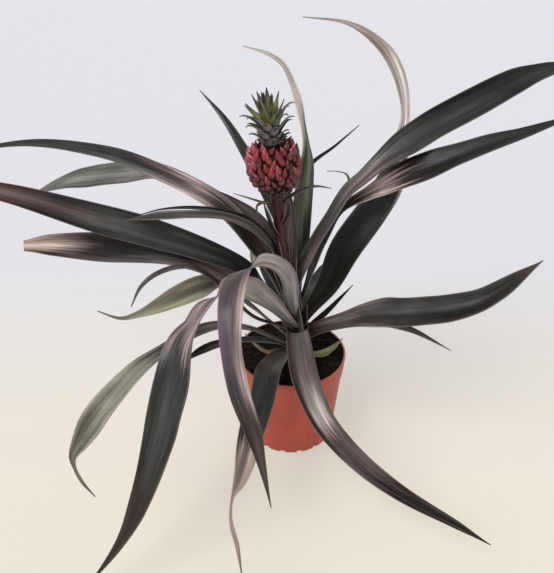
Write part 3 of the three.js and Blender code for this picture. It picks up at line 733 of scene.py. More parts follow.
# %% [markdown]
# ## The pot
# A nursery pot is thin plastic: a tapered wall, a deeper band round the rim with a rolled top
# edge, and small slots round the foot that let water out. The wall is extruded from ring to ring,
# outside first, over the rim and down the inside, so that it is one closed skin. The slots are cut
# by a Boolean with a ring of joined boxes.

# %% Extrude the wall and cut the slots
POT_HEIGHT = 108
POT_RIM_RADIUS = 60
POT_BASE_RADIUS = 49
POT_WALL = 1.6
POT_FLOOR = 2.4
LIP_HEIGHT = 22
LIP_STEP = 1.2
DRAIN_SLOTS = 16
SLOT_WIDTH = 6
SLOT_DEPTH = 6.4
POT_SIDES = 128


def pot_radius(height):
    return mixed(POT_BASE_RADIUS, POT_RIM_RADIUS - LIP_STEP, height / POT_HEIGHT)


lip_foot = POT_HEIGHT - LIP_HEIGHT
outside = [(POT_BASE_RADIUS - 1.2, 0), (POT_BASE_RADIUS - 0.4, 0.25), (pot_radius(1), 1)]
outside += [(pot_radius(height), height) for height in (4, 20, 40, 60, lip_foot - 1.5, lip_foot)]
outside += [(pot_radius(lip_foot) + LIP_STEP * 0.8, lip_foot + 0.3),
            (pot_radius(lip_foot) + LIP_STEP, lip_foot + 1),
            (POT_RIM_RADIUS - 0.4, POT_HEIGHT - 5), (POT_RIM_RADIUS, POT_HEIGHT - 1.2),
            (POT_RIM_RADIUS - 0.2, POT_HEIGHT - 0.4), (POT_RIM_RADIUS - 0.8, POT_HEIGHT)]
inside = [(POT_RIM_RADIUS - 2, POT_HEIGHT), (POT_RIM_RADIUS - 2.6, POT_HEIGHT - 0.5)]
inside += [(pot_radius(height) - POT_WALL, height) for height in (106, 86, 60, 30, POT_FLOOR + 2)]
inside += [(pot_radius(POT_FLOOR) - POT_WALL - 2, POT_FLOOR)]
shell = turned_solid(outside + inside, POT_SIDES, "pot wall")

cutters = []
for k in range(DRAIN_SLOTS):
    turn = 2 * math.pi * (k + 0.5) / DRAIN_SLOTS
    place = (POT_BASE_RADIUS * MM * math.cos(turn), POT_BASE_RADIUS * MM * math.sin(turn), 0)
    cutters.append(added(bpy.ops.mesh.primitive_cube_add, size=1, location=place,
                         rotation=(0, 0, turn), scale=(SLOT_DEPTH * MM, SLOT_WIDTH * MM, 6 * MM)))
    bpy.ops.object.transform_apply(location=True, rotation=True, scale=True)
cutter = joined(cutters, "drain slots")
cut = shell.modifiers.new("slots", "BOOLEAN")
cut.object = cutter
cut.solver = "EXACT"
apply_modifiers(shell)
bpy.ops.object.shade_smooth_by_angle(angle=math.radians(35))
bpy.data.objects.remove(cutter)
print("pot faces", len(shell.data.polygons))

# %% [markdown]
# ## The peat
# Peat settles a little under the rim. Its top is uneven, with crumbs and short fibres lying on it.
# The body is a round solid with many rings on top, pushed up and down by a noise. The crumbs and
# the fibres are copies of one lump, sized and strewn by a seeded chance.

# %% Fill the pot with peat
PEAT_TOP = 105.5
PEAT_GAP = 0.3


def peat_radius(height):
    return pot_radius(height) - POT_WALL - PEAT_GAP


foot = POT_FLOOR + PEAT_GAP
rings = [(peat_radius(foot) - 2, foot), (peat_radius(foot + 2), foot + 2), (peat_radius(60), 60),
         (peat_radius(PEAT_TOP - 1.5), PEAT_TOP - 1.5)]
rings += [(peat_radius(PEAT_TOP) * share, PEAT_TOP) for share in
          (0.985, 0.95, 0.9, 0.84, 0.77, 0.7, 0.62, 0.54, 0.46, 0.38, 0.3, 0.22, 0.15, 0.08, 0.02)]
soil = turned_solid(rings, 96, "peat")
for point in soil.data.vertices:
    if point.co.z > (PEAT_TOP - 1) * MM:
        inner = Vector((point.co.x, point.co.y)).length < 0.96 * peat_radius(PEAT_TOP) * MM
        broad = noise.noise(Vector((point.co.x, point.co.y, 0)) * 45)
        fine = noise.noise(Vector((point.co.x, point.co.y, 0.3)) * 190)
        point.co.z += (1.5 * broad + 0.9 * fine) * MM if inner else 0.4 * broad * MM
select_only(soil)
bpy.ops.object.shade_smooth()
print("peat rings", len(rings))

# %% Scatter crumbs and fibres
CRUMBS = 330
FIBRES = 60


def crumb_blank():
    crumb = added(bpy.ops.mesh.primitive_ico_sphere_add, subdivisions=1, radius=1)
    for point in crumb.data.vertices:
        point.co *= 1 + 0.5 * noise.noise(point.co * 2.1)
    return crumb


def strewn(blank, number, seed, size_of, name):
    chance = random.Random(seed)
    bits = []
    for k in range(number):
        out = peat_radius(PEAT_TOP) * math.sqrt(chance.uniform(0.03, 0.9))
        way = chance.uniform(0, 2 * math.pi)
        place = Vector((out * math.cos(way), out * math.sin(way), PEAT_TOP + chance.uniform(-0.6, 0.7)))
        bit = set_round(blank, chance.uniform(0, 6.3), place * MM, size_of(chance),
                        chance.uniform(-0.5, 0.5))
        bits.append(bit)
    return joined(bits, name)


crumb = crumb_blank()
crumbs = strewn(crumb, CRUMBS, 5, lambda chance: [chance.uniform(0.7, 2.1) for axis in range(3)],
                "peat crumbs")
fibres = strewn(crumb, FIBRES, 8, lambda chance: (chance.uniform(3, 7), 0.35, 0.3), "peat fibres")
print("crumbs", CRUMBS, "fibres", FIBRES)

for blank in (leaf_blank, small_blank, fruitlet, crumb):
    bpy.data.objects.remove(blank)

# %% [markdown]
# ## Finishes
# Every finish is worked out by nodes, with no pictures. The colours that leaves share have names,
# and the others are written as codes where they are used. Both are screen colours, turned into the
# linear values that the shader wants. Helpers add a node, set its inputs and wire it.

# %% Named colours and node helpers
COLOURS = {
    "night": "#11100e", "pitch": "#1c1c1a", "smoke": "#30302f", "slate": "#444343",
    "iron": "#5b5a59", "ash": "#7d7b78", "frost": "#b9b5b2", "mist": "#cdcdc9",
    "bark": "#1d1610", "umber": "#352a25", "cocoa": "#514541", "straw": "#94774c",
    "plum": "#33282a", "mauve": "#5f5251", "heather": "#7f6f6c", "rose": "#a8948e",
    "blush": "#d4bcb8", "cream": "#d4bfb2", "bottle": "#2a2d27", "moss": "#3f4536",
    "fern": "#5f5b4e", "olive": "#6b6a4a", "sage": "#838273", "pale sage": "#a6a295",
    "lime": "#9da062", "hay": "#9b9981", "rust": "#5a3a2e", "pearl": "#f0e4e0",
    "violet": "#584b54",
}


def linear(name):
    """A named colour as the shader's linear red, green, blue and a full alpha."""
    code = COLOURS.get(name, name)
    parts = [int(code[k:k + 2], 16) / 255 for k in (1, 3, 5)]
    return (*[part / 12.92 if part < 0.04 else ((part + 0.055) / 1.055) ** 2.4 for part in parts], 1)


def set_inputs(tree, node, inputs):
    """Wire or set each input; a text is the name or the code of a colour."""
    for socket, value in inputs.items():
        if isinstance(value, bpy.types.NodeSocket):
            tree.links.new(value, node.inputs[socket])
        else:
            node.inputs[socket].default_value = linear(value) if isinstance(value, str) else value


def add_node(tree, kind, inputs=None, **settings):
    node = tree.nodes.new(kind)
    for name, value in settings.items():
        setattr(node, name, value)
    set_inputs(tree, node, inputs or {})
    return node


def sum_of(tree, kind, first, second):
    """One Math node: ADD, MULTIPLY, SUBTRACT, POWER and so on."""
    return add_node(tree, "ShaderNodeMath", {0: first, 1: second}, operation=kind).outputs[0]


def remap(tree, value, low, high, to_low=0.0, to_high=1.0):
    node = add_node(tree, "ShaderNodeMapRange", {
        "Value": value, "From Min": low, "From Max": high, "To Min": to_low, "To Max": to_high,
    }, interpolation_type="SMOOTHSTEP")
    return node.outputs["Result"]


def blended(tree, amount, first, second, kind="MIX"):
    """One colour mixed into another; a Mix node keeps its colours at inputs 6 and 7."""
    return add_node(tree, "ShaderNodeMix", {0: amount, 6: first, 7: second}, data_type="RGBA",
                    blend_type=kind).outputs[2]


def ramp(tree, amount, stops):
    """Colours along a number from 0 to 1; each stop is a place and a colour, as in "0.2 lime"."""
    node = add_node(tree, "ShaderNodeValToRGB", {"Fac": amount})
    band = node.color_ramp
    band.elements.remove(band.elements[1])
    pairs = [stop.split(" ", 1) for stop in stops.split(", ")]
    band.elements[0].position = float(pairs[0][0])
    band.elements[0].color = linear(pairs[0][1])
    for place, colour in pairs[1:]:
        band.elements.new(float(place)).color = linear(colour)
    return node.outputs["Color"]


def new_group(name, inputs, outputs):
    group = bpy.data.node_groups.new(name, "ShaderNodeTree")
    for socket, kind in inputs:
        group.interface.new_socket(socket, in_out="INPUT", socket_type=f"NodeSocket{kind}")
    for socket, kind in outputs:
        group.interface.new_socket(socket, in_out="OUTPUT", socket_type=f"NodeSocket{kind}")
    return group, group.nodes.new("NodeGroupInput").outputs, group.nodes.new("NodeGroupOutput").inputs


def new_material(name):
    material = bpy.data.materials.new(name)
    material.use_nodes = True
    tree = material.node_tree
    shader = tree.nodes["Principled BSDF"]
    return material, tree, shader


def bumped(tree, shader, height, strength, distance):
    bump = add_node(tree, "ShaderNodeBump", {"Height": height, "Strength": strength,
                                             "Distance": distance})
    tree.links.new(bump.outputs[0], shader.inputs["Normal"])


print("colours", len(COLOURS))

# %% [markdown]
# ### Leaf skin
# Long fibres run from end to end under the skin, so all the markings are drawn out along the leaf: fine
# lines, broader streaks where the grey bloom has worn off, a paler or redder border and a thin pale margin
# right at the edge. Broad blotches and bands make it all lighter and darker; they are partly the leaf's own
# tone and partly painted sheen. The first group below gives how far along the leaf a spot counts as, the
# second its colour, roughness and a small height for the bump. Both read the UV map in real metres, and
# every leaf, bract and crown leaf shares them.

# %% Build the leaf skin group
def lines_along(group, given, parts, per_metre_along, per_metre_across, detail):
    """A noise drawn out along the leaf; it repeats so many times a metre each way."""
    along = sum_of(group, "MULTIPLY", parts["X"], given["Length"])
    across = sum_of(group, "MULTIPLY", parts["Y"], given["Width"])
    spot = add_node(group, "ShaderNodeCombineXYZ", {
        "X": sum_of(group, "MULTIPLY", along, per_metre_along),
        "Y": sum_of(group, "MULTIPLY", across, per_metre_across),
    }).outputs[0]
    return add_node(group, "ShaderNodeTexNoise", {
        "Vector": spot, "Scale": 1, "Detail": detail, "Roughness": 0.6}).outputs["Fac"]


def leaf_place_group():
    """How far along the leaf a spot counts as, with the stops slanted and drawn out into streaks."""
    group, given, out = new_group("leaf place", [
        ("Length", "Float"), ("Width", "Float"), ("Slant", "Float"), ("Ragged", "Float"),
    ], [("Along", "Float")])
    place = add_node(group, "ShaderNodeUVMap", uv_map="UVMap").outputs[0]
    parts = add_node(group, "ShaderNodeSeparateXYZ", {0: place}).outputs
    slanted = sum_of(group, "MULTIPLY", sum_of(group, "SUBTRACT", parts["Y"], 0.5), given["Slant"])
    streaks = lines_along(group, given, parts, 6, 300, 3)
    ragged = sum_of(group, "MULTIPLY", sum_of(group, "SUBTRACT", streaks, 0.5), given["Ragged"])
    along = sum_of(group, "ADD", parts["X"], sum_of(group, "ADD", slanted, ragged))
    group.links.new(along, out["Along"])
    return group


def leaf_skin_group():
    group, given, out = new_group("leaf skin", [
        ("Centre", "Color"), ("Edge", "Color"), ("Streak", "Color"), ("Edge Width", "Float"),
        ("Streaks", "Float"), ("Length", "Float"), ("Width", "Float"), ("Middle", "Float"),
    ], [("Color", "Color"), ("Roughness", "Float"), ("Height", "Float")])
    place = add_node(group, "ShaderNodeUVMap", uv_map="UVMap").outputs[0]
    parts = add_node(group, "ShaderNodeSeparateXYZ", {0: place}).outputs

    def lines(per_metre_along, per_metre_across, detail):
        return lines_along(group, given, parts, per_metre_along, per_metre_across, detail)

    streaks = lines(8, 230, 2)
    fibres = lines(20, 900, 2)
    blotches = lines(16, 45, 2)
    bands = lines(7, 120, 2)
    off_middle = sum_of(group, "MULTIPLY", sum_of(group, "ABSOLUTE", sum_of(
        group, "SUBTRACT", parts["Y"], given["Middle"]), 0), 2)
    wavering = sum_of(group, "ADD", off_middle, remap(group, streaks, 0.3, 0.7, -0.12, 0.12))
    inner = sum_of(group, "SUBTRACT", 1, given["Edge Width"])
    border = add_node(group, "ShaderNodeMapRange", {
        "Value": wavering, "From Min": inner, "From Max": 1}, interpolation_type="SMOOTHSTEP").outputs[0]
    colour = blended(group, border, given["Centre"], given["Edge"])
    worn = sum_of(group, "MULTIPLY", remap(group, streaks, 0.5, 0.72), given["Streaks"])
    colour = blended(group, worn, colour, given["Streak"])
    # The blotches and bands lighten and darken the colour in broad patches and stripes: partly the leaf's
    # own tone, partly painted sheen.
    shade = sum_of(group, "MULTIPLY", remap(group, blotches, 0.3, 0.7, 0.72, 1.28),
                   remap(group, fibres, 0.3, 0.7, 0.9, 1.1))
    shade = sum_of(group, "MULTIPLY", shade, remap(group, bands, 0.3, 0.7, 0.6, 1.45))
    grey = add_node(group, "ShaderNodeCombineColor", {0: shade, 1: shade, 2: shade}).outputs[0]
    colour = blended(group, 1.0, colour, grey, "MULTIPLY")
    reach = sum_of(group, "ABSOLUTE", sum_of(group, "SUBTRACT", sum_of(
        group, "MULTIPLY", parts["Y"], 2), 1), 0)
    margin = remap(group, reach, 0.92, 0.98, 0, 0.16)
    colour = blended(group, margin, colour, "cream")
    group.links.new(colour, out["Color"])
    group.links.new(remap(group, blotches, 0.3, 0.7, 0.5, 0.3), out["Roughness"])
    group.links.new(sum_of(group, "ADD", fibres, streaks), out["Height"])
    return group


leaf_place = leaf_place_group()
leaf_skin = leaf_skin_group()
RAGGED = 0.3


def skin_material(name, centre, edge, streak, edge_width, streaks, length, width, gloss=0.26, slant=0,
                  middle=0.5):
    """A leaf finish; centre and edge are colour stops from the root at 0 to the tip at 1.

    A slant shifts the stops along one side against the other. The middle says where across the leaf
    the centre colours run, as a share of its width.
    """
    material, tree, shader = new_material(name)
    along = add_node(tree, "ShaderNodeGroup", {
        "Length": length, "Width": width, "Slant": slant, "Ragged": RAGGED,
    }, node_tree=leaf_place).outputs["Along"]
    skin = add_node(tree, "ShaderNodeGroup", {
        "Centre": ramp(tree, along, centre), "Edge": ramp(tree, along, edge), "Streak": streak,
        "Edge Width": edge_width, "Streaks": streaks, "Length": length, "Width": width,
        "Middle": middle,
    }, node_tree=leaf_skin).outputs
    set_inputs(tree, shader, {"Base Color": skin["Color"], "Roughness": skin["Roughness"],
                              "Specular IOR Level": gloss})
    bumped(tree, shader, skin["Height"], 0.25, 0.0006)
    return material


def finish(leaf, upper, under):
    """Give both sides of a leaf their finish in place of the stand-ins."""
    leaf.data.materials[0] = upper
    leaf.data.materials[1] = under


print("leaf skin sockets", [socket.name for socket in leaf_skin.interface.items_tree])

# %% [markdown]
# Six dark leaves share one finish, and every other leaf has its own. Some are dark green to black, some are
# flushed with purple, and some have a pink border. A finish is a few stops from root to tip, for the leaf's
# middle and for its border. Each stop is a place and a colour. After them come the colour of the streaks,
# the border's width and how strong the streaks are. The stops were chosen to follow colours that a small
# program had measured along each leaf, light and shade included. So besides each leaf's own colours they
# hold painted highlights, painted sheen and painted shadow where the leaf caught the light or lay in shade.

# %% Colour every leaf
DARK_SKIN = ("0 cocoa, 0.2 smoke, 0.4 pitch, 0.8 pitch, 1 bark",
             "0 mauve, 0.25 slate, 0.4 bottle, 1 bark", "slate", 0.3, 0.3)
SKINS = {
    "leaf_stub_right": (
        "0 heather, 0.2 lime, 0.65 lime, 1 olive",
        "0 rose, 0.4 pale sage, 1 sage",
        "cream", 0.4, 0.3),
    "leaf_stub_left": (
        "0 heather, 0.3 straw, 1 cream",
        "0 cocoa, 1 straw",
        "umber", 0.3, 0.5),
    "leaf_front_hanging": (
        "0 heather, 0.2 fern, 0.3 slate, 0.52 smoke, 0.58 rose, 0.7 rose, 0.82 blush, 1 heather",
        "0 heather, 0.3 mauve, 0.45 bottle, 0.55 smoke, 0.75 blush, 1 cocoa",
        "cocoa", 0.35, 0.35),
    "leaf_right_under": (
        "0 mauve, 0.4 slate, 1 iron",
        "0 mauve, 1 ash",
        "ash", 0.4, 0.4),
    "leaf_left_pale_low": (
        "0 olive, 0.2 fern, 0.3 heather, 0.4 slate, 0.52 slate, 0.6 sage, 0.72 sage, 0.85 fern, 1 cocoa",
        "0 cocoa, 0.3 mauve, 0.5 cocoa, 0.6 sage, 0.8 pale sage, 1 sage",
        "umber", 0.4, 0.3),
    "leaf_right_wavy": (
        "0 cocoa, 0.1 umber, 0.2 mauve, 0.3 umber, 0.45 smoke, 0.6 night, 0.8 pitch, 0.92 umber, 1 cocoa",
        "0 umber, 0.2 cocoa, 0.32 heather, 0.42 smoke, 0.6 umber, 0.75 smoke, 0.9 slate, 1 iron",
        "heather", 0.5, 0.2),
    "leaf_left_curled": (
        "0 olive, 0.15 pale sage, 0.3 ash, 0.48 mauve, 0.58 sage, 0.7 hay, 0.82 hay, 0.92 sage, 1 heather",
        "0 olive, 0.5 frost, 0.7 hay, 0.85 sage, 1 cocoa",
        "rust", 0.35, 0.2),
    # Painted highlight on this leaf: the rose, pearl and blush stops at 0.31 to 0.42 make a pale pink
    # highlight band across its middle.
    "leaf_front_right": (
        "0 frost, 0.1 ash, 0.24 heather, 0.31 rose, 0.37 pearl, 0.42 blush, 0.47 mauve, 0.6 cocoa, "
        "0.68 night, 1 night",
        "0 rose, 0.15 mauve, 0.26 umber, 0.44 bark, 0.52 mauve, 0.6 mauve, 0.68 bark, 1 umber",
        "blush", 0.9, 0.2),
    "leaf_left_narrow": (
        "0 plum, 0.5 cocoa, 1 slate",
        "0 mauve, 1 mauve",
        "umber", 0.4, 0.4),
    "leaf_left_blunt": (
        "0 heather, 0.15 ash, 0.3 heather, 0.42 heather, 0.5 slate, 0.6 iron, 0.7 smoke, 0.8 plum, "
        "0.86 heather, 0.93 cream, 1 cream",
        "0 ash, 0.35 heather, 0.5 heather, 0.65 slate, 0.8 cocoa, 0.9 plum, 1 rose",
        "plum", 0.5, 0.45),
    # Painted highlight on this leaf: the rose stops at 0.38 to 0.43 make a pink highlight patch.
    "leaf_left_front_broad": (
        "0 umber, 0.3 mauve, 0.38 rose, 0.43 rose, 0.49 smoke, 0.62 slate, 0.72 smoke, 0.8 umber, 1 umber",
        "0 mauve, 0.36 heather, 0.46 mauve, 0.54 bottle, 0.75 bottle, 0.9 cocoa, 1 cocoa",
        "bottle", 0.5, 0.4),
    "leaf_right_back_broad": (
        "0 umber, 0.12 bottle, 0.4 pitch, 0.5 slate, 0.57 pearl, 0.72 pearl, 0.8 blush, 1 mist",
        "0 bottle, 0.3 moss, 0.5 sage, 0.57 mist, 0.72 pearl, 0.82 rose, 1 frost",
        "smoke", 0.3, 0.2),
    "leaf_left_broad": (
        "0 bark, 0.25 pitch, 0.35 slate, 0.5 slate, 0.6 iron, 0.7 cocoa, 0.8 mauve, 1 mauve",
        "0 heather, 0.15 pitch, 0.45 smoke, 0.6 night, 0.72 pitch, 0.82 rust, 1 rust",
        "iron", 0.75, 0.25),
    # Painted light on this leaf: the cocoa and umber stops at 0.36 to 0.42 are painted shadow at the bend of
    # the arch, and the blush stop at 0.7 is a painted pink highlight.
    "leaf_front_arch": (
        "0 cocoa, 0.2 ash, 0.3 frost, 0.36 cocoa, 0.42 umber, 0.47 heather, 0.52 rose, 0.62 heather, "
        "0.7 blush, 0.75 heather, 0.79 umber, 1 cocoa",
        "0 cocoa, 0.22 heather, 0.31 frost, 0.4 mauve, 0.47 mauve, 0.54 violet, 0.66 violet, 0.74 slate, "
        "0.8 umber, 1 cocoa",
        "heather", 0.8, 0.2),
    "leaf_left_back_pale": (
        "0 cocoa, 0.1 heather, 0.2 mauve, 0.3 cocoa, 0.4 rose, 0.5 fern, 0.6 ash, 0.7 #6e7066, 1 #6e7066",
        "0 cocoa, 0.3 cocoa, 0.4 heather, 0.6 heather, 0.7 iron, 1 iron",
        "slate", 0.3, 0.3),
    "leaf_left_long": (
        "0 fern, 0.15 mauve, 0.22 umber, 0.3 slate, 0.37 rose, 0.43 mauve, 0.5 smoke, 1 smoke",
        "0 fern, 0.2 heather, 0.32 rose, 0.4 blush, 0.46 mauve, 0.53 smoke, 1 smoke",
        "ash", 0.45, 0.25),
    # Painted highlight on this leaf: the blush stops at 0.44 to 0.48 make a pink-white highlight patch.
    "leaf_right_striped": (
        "0 fern, 0.15 ash, 0.3 mauve, 0.4 umber, 0.48 blush, 0.55 plum, 0.62 pitch, 1 pitch",
        "0 mauve, 0.35 mauve, 0.44 blush, 0.52 umber, 0.6 night, 1 smoke",
        "mauve", 0.4, 0.25),
    "leaf_back_tall": (
        "0 fern, 0.2 moss, 0.32 #7c806b, 0.42 #7c806b, 0.55 moss, 0.62 mist, 0.75 pearl, 0.85 mist, 1 pearl",
        "0 heather, 0.25 #3f4e43, 0.5 #566152, 0.6 pearl, 0.75 pearl, 1 mist",
        "moss", 0.3, 0.2),
    "leaf_right_high": (
        "0 fern, 0.15 heather, 0.22 mauve, 0.3 iron, 0.4 heather, 0.5 slate, 0.62 smoke, 0.72 smoke, "
        "0.82 pitch, 1 slate",
        "0 heather, 0.2 cocoa, 0.35 iron, 0.48 smoke, 0.62 night, 0.8 pitch, 1 slate",
        "iron", 0.6, 0.3),
    "leaf_left_slim_low": (
        "0 fern, 0.2 ash, 0.4 iron, 0.6 cocoa, 1 slate",
        "0 ash, 0.5 cocoa, 0.8 ash, 1 slate",
        "umber", 0.5, 0.4),
    "leaf_left_short": (
        "0 heather, 0.4 mauve, 1 slate",
        "0 rose, 0.6 smoke, 1 bark",
        "smoke", 0.35, 0.5),
    "leaf_back_left_spear": (
        "0 slate, 0.2 bottle, 1 pitch",
        "0 slate, 0.3 moss, 1 bottle",
        "slate", 0.3, 0.3),
    "leaf_right_hooked": (
        "0 slate, 0.5 iron, 1 ash",
        "0 slate, 1 frost",
        "ash", 0.3, 0.3),
    "leaf_inner_back": (
        "0 heather, 0.5 mauve, 1 slate",
        "0 heather, 1 slate",
        "rose", 0.3, 0.3),
}
UNDERSIDES = {
    "grey green": ("0 ash, 0.25 frost, 0.4 frost, 0.6 ash, 1 sage",
                   "0 heather, 0.5 pale sage, 1 sage"),
    "flushed": ("0 heather, 0.4 mauve, 1 iron",
                "0 rose, 0.5 heather, 1 mauve"),
}
SLANTS = {"leaf_back_tall": 0.24}
# A middle moves a leaf's centre stops to one side; on leaf_front_arch it sets the painted pink highlight on
# the side where the light falls.
MIDDLES = {"leaf_front_arch": 1.0, "leaf_front_right": 0.56, "leaf_right_high": 0.4,
           "leaf_left_blunt": 0.45}
FLUSHED = ("leaf_front_hanging", "leaf_front_right", "leaf_right_striped", "leaf_right_high",
           "leaf_left_long", "leaf_left_blunt", "leaf_right_back_broad", "leaf_back_tall")
under_skins = {
    name: skin_material("leaf underside " + name, centre, edge, "frost", 0.3, 0.35, 0.4, 0.03)
    for name, (centre, edge) in UNDERSIDES.items()
}
slots = {entry["node"]: entry["material_slot"] for entry in frame["record"]["subparts"]}
for name, line in LEAVES:
    centre, edge, streak, edge_width, streaks = SKINS.get(name, DARK_SKIN)
    length = sum(math.dist(a[:3], b[:3]) for a, b in zip(line, line[1:])) * MM
    width = max(spot[4] for spot in line) * MM
    skin = skin_material(name.replace("leaf_", "skin "), centre, edge, streak, edge_width, streaks,
                         length, width, slant=SLANTS.get(name, 0), middle=MIDDLES.get(name, 0.5))
    finish(leaves[name], skin, under_skins["flushed" if name in FLUSHED else "grey green"])
    hand_over(leaves[name], name.replace("leaf_", "blade_"), slots[name], name)
print("leaves with a finish of their own", len(SKINS), "undersides", len(UNDERSIDES))

# %% [markdown]
# ### Stalk, bracts, fruit and crown
# The stalk is dark red-brown and waxy, redder towards the fruit. The fruitlets are glossy: bright red where
# they are ripe and catch the light, wine-dark at their feet and in the seams. Each carries a number of its
# own, "ripe", that shifts its red a little. The bottom of the whole fruit is darkened to near black as
# painted shade. The crown is grey-green with a pale bloom, and yellow-green where its young leaves stand.

# %% Finish the stalk and the bracts
def object_noise(tree, scale, detail=3, stretch=(1, 1, 1)):
    place = add_node(tree, "ShaderNodeTexCoord").outputs["Object"]
    place = add_node(tree, "ShaderNodeMapping", {"Vector": place, "Scale": stretch}).outputs[0]
    return add_node(tree, "ShaderNodeTexNoise", {
        "Vector": place, "Scale": scale, "Detail": detail, "Roughness": 0.6}).outputs["Fac"]


def height_share(tree, low, high):
    """0 at one height and 1 at another, in metres."""
    place = add_node(tree, "ShaderNodeTexCoord").outputs["Object"]
    rise = add_node(tree, "ShaderNodeSeparateXYZ", {0: place}).outputs["Z"]
    return remap(tree, rise, low, high)


def stalk_material():
    material, tree, shader = new_material("stalk skin")
    grain = object_noise(tree, 160, stretch=(1, 1, 0.12))
    colour = ramp(tree, height_share(tree, 0.10, 0.29), "0 bark, 0.5 #35201c, 1 #4b2526")
    colour = blended(tree, remap(tree, grain, 0.55, 0.75, 0, 0.7), colour, "#84505a")
    set_inputs(tree, shader, {"Base Color": colour, "Roughness": 0.5})
    bumped(tree, shader, grain, 0.5, 0.001)
    return material


stem.data.materials.append(stalk_material())
bract_skin = skin_material("bract skin", "0 bark, 0.4 olive, 1 ash",
                           "0 rust, 0.5 heather, 1 ash", "frost", 0.3, 0.4, 0.04, 0.006)
bract_under = skin_material("bract underside", "0 bark, 0.5 plum, 1 mauve",
                            "0 rust, 0.5 rose, 1 heather", "blush", 0.3, 0.4, 0.04, 0.006)
finish(bracts, bract_skin, bract_under)
sheath_skin = skin_material("sheath", "0 sage, 0.25 fern, 0.6 slate, 1 smoke",
                            "0 sage, 0.4 heather, 1 rose", "ash", 0.35, 0.4, 0.06, 0.017)
finish(sheaths, sheath_skin, sheath_skin)
hand_over(stem, "stem", "stalk", "stalk")
hand_over(bracts, "bracts", "stalk")
hand_over(sheaths, "sheaths", "stalk")
print("stalk finished")


# %% Finish the fruit
def fruit_material():
    material, tree, shader = new_material("fruitlet skin")
    ripe = add_node(tree, "ShaderNodeAttribute", attribute_name="ripe").outputs["Fac"]
    rise = add_node(tree, "ShaderNodeAttribute", attribute_name="rise").outputs["Fac"]
    patches = object_noise(tree, 260)
    # Painted shade: the bottom of the fruit, just above the stalk, is blended to near black.
    low = height_share(tree, 0.296, 0.33)
    mix = sum_of(tree, "ADD", sum_of(tree, "MULTIPLY", ripe, 0.4), sum_of(tree, "MULTIPLY", patches, 0.7))
    colour = ramp(tree, mix, "0.25 #30070e, 0.45 #64121e, 0.65 #8a1e2d, 0.88 #b24c50")
    foot = ramp(tree, patches, "0.35 #241a12, 0.65 #3a0d13")
    colour = blended(tree, remap(tree, rise, 0.1, 0.5), foot, colour)
    tip = sum_of(tree, "MULTIPLY", remap(tree, rise, 0.8, 1), ripe)
    colour = blended(tree, sum_of(tree, "MULTIPLY", tip, 0.6), colour, "#cf9a94")
    colour = blended(tree, low, "#1a0504", colour)
    set_inputs(tree, shader, {"Base Color": colour, "Roughness": 0.42, "Coat Weight": 0.6,
                              "Coat Roughness": 0.14})
    bumped(tree, shader, object_noise(tree, 900), 0.3, 0.0005)
    return material


def barrel_material():
    material, tree, shader = new_material("fruit seams")
    colour = blended(tree, object_noise(tree, 120), "#1c0708", "#3d0f13")
    set_inputs(tree, shader, {"Base Color": colour, "Roughness": 0.8, "Specular IOR Level": 0.2})
    return material


fruit.data.materials.append(fruit_material())
barrel.data.materials.append(barrel_material())
hand_over(fruit, "fruitlets", "fruit", "fruit")
hand_over(barrel, "fruit_barrel", "fruit")
print("fruit finished")

# %% Finish the crown
crown_skin = skin_material("crown leaf skin", "0 moss, 0.35 iron, 0.7 mauve, 1 plum",
                           "0 fern, 0.5 ash, 1 slate", "frost", 0.35, 0.6, 0.03, 0.009)
crown_under = skin_material("crown leaf underside", "0 mauve, 0.3 frost, 0.65 cocoa, 1 plum",
                            "0 plum, 0.5 rose, 1 mauve", "frost", 0.4, 0.7, 0.03, 0.009)
young_skin = skin_material("young crown leaf", "0 lime, 0.6 lime, 0.85 mauve, 1 plum",
                           "0 lime, 0.6 sage, 1 plum", "pale sage", 0.3, 0.5, 0.03, 0.008)
young_under = skin_material("young crown underside", "0 #a5a85f, 0.45 lime, 0.75 cocoa, 1 plum",
                            "0 lime, 0.5 pale sage, 0.8 mauve, 1 plum",
                            "pale sage", 0.3, 0.5, 0.03, 0.008)
finish(crown, crown_skin, crown_under)
finish(young_crown, young_skin, young_under)


def heart_material():
    material, tree, shader = new_material("crown heart")
    colour = blended(tree, object_noise(tree, 200), "moss", "olive")
    set_inputs(tree, shader, {"Base Color": colour, "Roughness": 0.6})
    return material


heart.data.materials.append(heart_material())
hand_over(crown, "crown_leaves", "crown", "crown")
hand_over(young_crown, "young_crown_leaves", "crown")
hand_over(heart, "crown_heart", "crown")
for stand_in in stand_ins:
    bpy.data.materials.remove(stand_in)
print("crown finished")

# %% [markdown]
# ### Pot and peat
# The pot's plastic is coloured all through, with a satin skin. It is painted a little paler at the rim as a
# highlight, and it is darker on its inside wall. Faint upright flow lines come from moulding. Peat is almost
# black, dull, and a little browner where it has dried.

